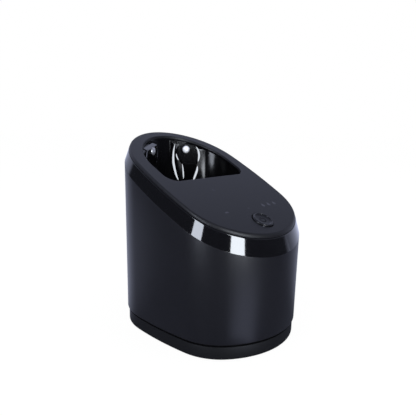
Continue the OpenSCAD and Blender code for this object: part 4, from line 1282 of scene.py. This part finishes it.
def base_shell():
    """The black base: a rounded lip round a flat floor, with a tongue inside the housing."""
    low = [flat_ring(oval(LIP_INSET + across), BASE_Z + CHAMFER - up)
           for across, up in reversed(quarter_round(CHAMFER))]
    high = [flat_ring(oval(LIP_INSET + across), LIP_Z - LIP_ROUND + up)
            for across, up in quarter_round(LIP_ROUND)]
    well = [flat_ring(oval(LIP_INSET + WALL), LIP_Z), flat_ring(oval(LIP_INSET + WALL), FLOOR_Z)]
    shell = loft("base_shell", low + high + well)
    outer, inner = oval(WALL + TONGUE_GAP), oval(WALL + TONGUE_GAP + TONGUE_T)
    bottom, top = FLOOR_Z - 0.0002, HOUSING_Z + TONGUE_RISE
    tongue = loft("tongue", [flat_ring(outer, bottom), flat_ring(outer, top),
                             flat_ring(inner, top), flat_ring(inner, bottom)], closed=True)
    combine(shell, [tongue], "UNION")
    cuts = [box("rear_cut", (-0.07, LIP_END_Y, FLOOR_Z), (0.07, 0.09, 0.05))]
    cuts += [rod("foot_seat", FOOT_SEAT_R, BASE_Z - 0.001, BASE_Z + 0.0008, x, y, 48)
             for x in (-FOOT_X, FOOT_X) for y in (-FOOT_Y, FOOT_Y)]
    cuts += [rod("screw_seat", SCREW_SEAT_R, BASE_Z - 0.001, BASE_Z + 0.0012, x, POST_Y, 40)
             for x in (-POST_X, POST_X)]
    return combine(shell, cuts)


settle(base_shell(), "base", ["base_tray"], base_finish)

foot_pattern = lathe("foot_pattern", [
    (0, 0), (0.0022, 0), (0.0026, 0.0002), (0.0038, 0.0002), (0.0042, 0), (FOOT_R - 0.0003, 0),
    (FOOT_R, 0.0003), (FOOT_R, 0.0016), (0, 0.0016)], steps=48)
feet = CORNERS.make("base_feet", Pattern=foot_pattern, Width=2 * FOOT_X, Length=2 * FOOT_Y,
                    Material=foot_finish.material)
settle(feet, "base", ["feet"], foot_finish)


# ------------------------------------------------------------------ pieces that keep their CAD shape

def dress(node, finish):
    """A carried-over piece: its doubles merged and its round faces smoothed, with a finish."""
    piece = nodes[node]
    piece.data.materials.clear()
    piece.data.materials.append(finish.material)
    weld = piece.modifiers.new("weld", "WELD")
    weld.merge_threshold = 0.000001
    even_shading(piece)


for node, finish in (
        ("post_screws", screw_finish), ("guide_posts", post_finish), ("lift_springs", spring_finish),
        ("latch_bridge", frame_finish), ("cartridge_tank", tank_finish),
        ("cartridge_lid", lid_finish), ("cartridge_filter", felt_finish),
        ("lid_seals", seal_finish), ("chassis", frame_finish), ("control_board", board_finish),
        ("light_guide", guide_finish), ("motor_can", can_finish), ("fan_housing", frame_finish),
        ("pump_housing", frame_finish), ("intake_tube", tube_finish), ("fill_tube", tube_finish),
        ("power_inlet", inlet_finish), ("inlet_pins", brass_finish), ("latch_pin", screw_finish),
        ("latch_lever", lever_finish), ("motor_shaft", screw_finish), ("fan_wheel", wheel_finish),
        ("pump_wheel", wheel_finish)):
    dress(node, finish)


# ------------------------------------------------------------------ camera, light and floor

CAMERA_WAY = (-44.845, 11.455)     # azimuth and elevation in degrees
CAMERA_ROLL = math.radians(1.007)
CAMERA_TARGET, CAMERA_DISTANCE = Vector((0, 0.002398, 0.098854)), 0.399365
AMBIENT = 0.55
BACKDROP_WAY = (0.731, 0.682, 0.0)     # where the white backdrop stands, as the gloss sees it
FRONT_GLOSS, BACK_GLOSS = 0.06, 0.65   # brightness of the dark front and of the backdrop
LEFT_WAY = (0.174, 0.985, 0.0)         # the side on which the overhead light is bright
TOP_GLOSS = 0.85
FLOOR_BACK_WAY = (0.6, 0.8, 0.0)       # where the floor is bright in the gloss
FLOOR_GLOSS, FLOOR_GLOW = 0.12, 0.9
STREAK_START = (-0.034, -0.031, 0.0)   # the floor's bright streak in front of the housing
STREAK_WAY = (0.0, -1.0, 0.0)
STREAK_GLOSS = 1.0
WHITE, BLACK, COOL_WHITE = (1, 1, 1, 1), (0, 0, 0, 1), (0.70, 0.75, 1.0, 1)


def heading(azimuth, elevation):
    """The unit vector to that azimuth and elevation, in degrees; the front is 0."""
    az, el = math.radians(azimuth), math.radians(elevation)
    return Vector((math.sin(az) * math.cos(el), -math.cos(az) * math.cos(el), math.sin(el)))


def place_camera():
    """The photograph's camera, for a square picture."""
    azimuth, roll = math.radians(CAMERA_WAY[0]), CAMERA_ROLL
    back = heading(*CAMERA_WAY)
    right = Vector((math.cos(azimuth), math.sin(azimuth), 0))
    up = back.cross(right)
    turned_right = right * math.cos(roll) + up * math.sin(roll)
    turned_up = up * math.cos(roll) - right * math.sin(roll)
    lens = bpy.data.cameras.new("camera")
    lens.sensor_width = 36
    lens.lens = 41.444
    lens.clip_start = 0.01
    camera = new_object("camera", lens)
    turn = Matrix((turned_right, turned_up, back)).transposed().to_4x4()
    camera.matrix_world = Matrix.Translation(CAMERA_TARGET + back * CAMERA_DISTANCE) @ turn
    bpy.context.scene.camera = camera


def panel_light(name, azimuth, elevation, distance, width, height, power, glossy, diffuse,
                aim=(0, 0, 0.08), colour=(0.95, 0.97, 1.0)):
    """A soft rectangular light seen in that direction from the object, facing it."""
    away = heading(azimuth, elevation)
    data = bpy.data.lights.new(name, "AREA")
    data.shape = "RECTANGLE"
    data.size, data.size_y, data.energy = width, height, power
    data.color = colour
    light = new_object(name, data)
    light.matrix_world = (Matrix.Translation(Vector(aim) + away * distance)
                          @ away.to_track_quat("Z", "Y").to_matrix().to_4x4())
    light.visible_camera = False
    light.visible_glossy = glossy
    light.visible_transmission = False
    light.visible_diffuse = diffuse


def studio_world():
    """White behind the object, for the camera and in its gloss; a dark studio in front of it."""
    world = bpy.data.worlds.new("studio")
    bpy.context.scene.world = world
    world.use_nodes = True
    recipe = Recipe(world.node_tree)
    camera, glossy, clear = recipe.ray_kinds()
    direction = recipe.add("ShaderNodeTexCoord", output=0)
    level = recipe.eased(recipe.towards(direction, BACKDROP_WAY), 0.26, 0.46, FRONT_GLOSS, BACK_GLOSS)
    top = recipe.eased(recipe.towards(direction, LEFT_WAY), 0.2, 0.65, TOP_GLOSS * 0.25, TOP_GLOSS)
    height = recipe.add("ShaderNodeSeparateXYZ", {}, {0: direction}, output=2)
    overhead = recipe.eased(height, 0.25, 0.62)
    backdrop = overhead * top + (1 - overhead) * level
    seen = camera + clear
    ground = world.node_tree.nodes["Background"]
    recipe.feed(ground.inputs["Color"], recipe.mixed(glossy, WHITE, COOL_WHITE))
    recipe.feed(ground.inputs["Strength"],
                seen + (1 - seen) * (glossy * backdrop + (1 - glossy) * AMBIENT))


def floor_gloss(recipe):
    """How bright each place of the floor looks in the object's gloss, from 0 to 1."""
    place = recipe.place
    way = recipe.add("ShaderNodeVectorMath", {"operation": "NORMALIZE"}, {0: place})
    far = recipe.eased(recipe.towards(way, FLOOR_BACK_WAY), -0.15, 0.95)
    from_start = recipe.add("ShaderNodeVectorMath", {"operation": "SUBTRACT"},
                            {0: place, 1: STREAK_START})
    ahead = recipe.add("ShaderNodeVectorMath", {"operation": "NORMALIZE"}, {0: from_start})
    streak = recipe.eased(recipe.towards(ahead, STREAK_WAY), 0.93, 0.995, 0.0, STREAK_GLOSS)
    reach = recipe.add("ShaderNodeVectorMath", {"operation": "LENGTH"}, {0: from_start}, output=1)
    close = recipe.eased(reach, 0.05, 0.062)
    near = recipe.eased(reach, 0.15, 0.6, 1.0, 0.0)
    dim = recipe.eased(reach, 0.45, 0.9, FLOOR_GLOSS, FLOOR_GLOSS * 0.2)
    return (far + (1 - far) * dim).at_least(streak * near * close)


def pale_floor():
    """A white floor that keeps a faint shadow and stays dim in the object's gloss."""
    half = 3.0
    floor = mesh_piece("floor", [(x * half, y * half, 0) for x, y in ((-1, -1), (1, -1), (1, 1), (-1, 1))],
                       [(0, 1, 2, 3)])
    white = Finish("floor_white", Base_Color=(0.8, 0.8, 0.8, 1), Roughness=0.9, Specular_IOR_Level=0.1)
    camera, glossy, clear = white.ray_kinds()
    seen = camera + clear
    mirrored = white.mixed(floor_gloss(white), BLACK, COOL_WHITE)
    glow = white.add("ShaderNodeEmission", {}, {
        0: white.mixed(seen, mirrored, WHITE), 1: seen * 1.06 + glossy * 1.1})
    dressed = white.add("ShaderNodeMixShader", {}, {
        0: seen * FLOOR_GLOW + glossy, 1: Wire(white, white.shader.outputs[0]), 2: glow})
    white.feed(white.tree.nodes["Material Output"].inputs[0], dressed)
    floor.data.materials.append(white.material)


place_camera()
studio_world()
pale_floor()
panel_light("key", -70, 45, 1.2, 0.7, 0.7, 3.2, glossy=False, diffuse=True)
panel_light("fill", 30, 35, 1.2, 0.8, 0.6, 2.0, glossy=False, diffuse=True)
panel_light("front_card", -8.5, 16.5, 0.9, 0.27, 0.52, 4.9, glossy=True, diffuse=False,
            aim=(-0.036, -0.062, 0.086), colour=(0.88, 0.93, 1.0))
panel_light("side_card", -81, 18, 0.9, 0.31, 0.50, 3.6, glossy=True, diffuse=False,
            aim=(-0.053, -0.042, 0.097), colour=(0.82, 0.88, 1.0))

bpy.context.scene.view_settings.view_transform = "Standard"
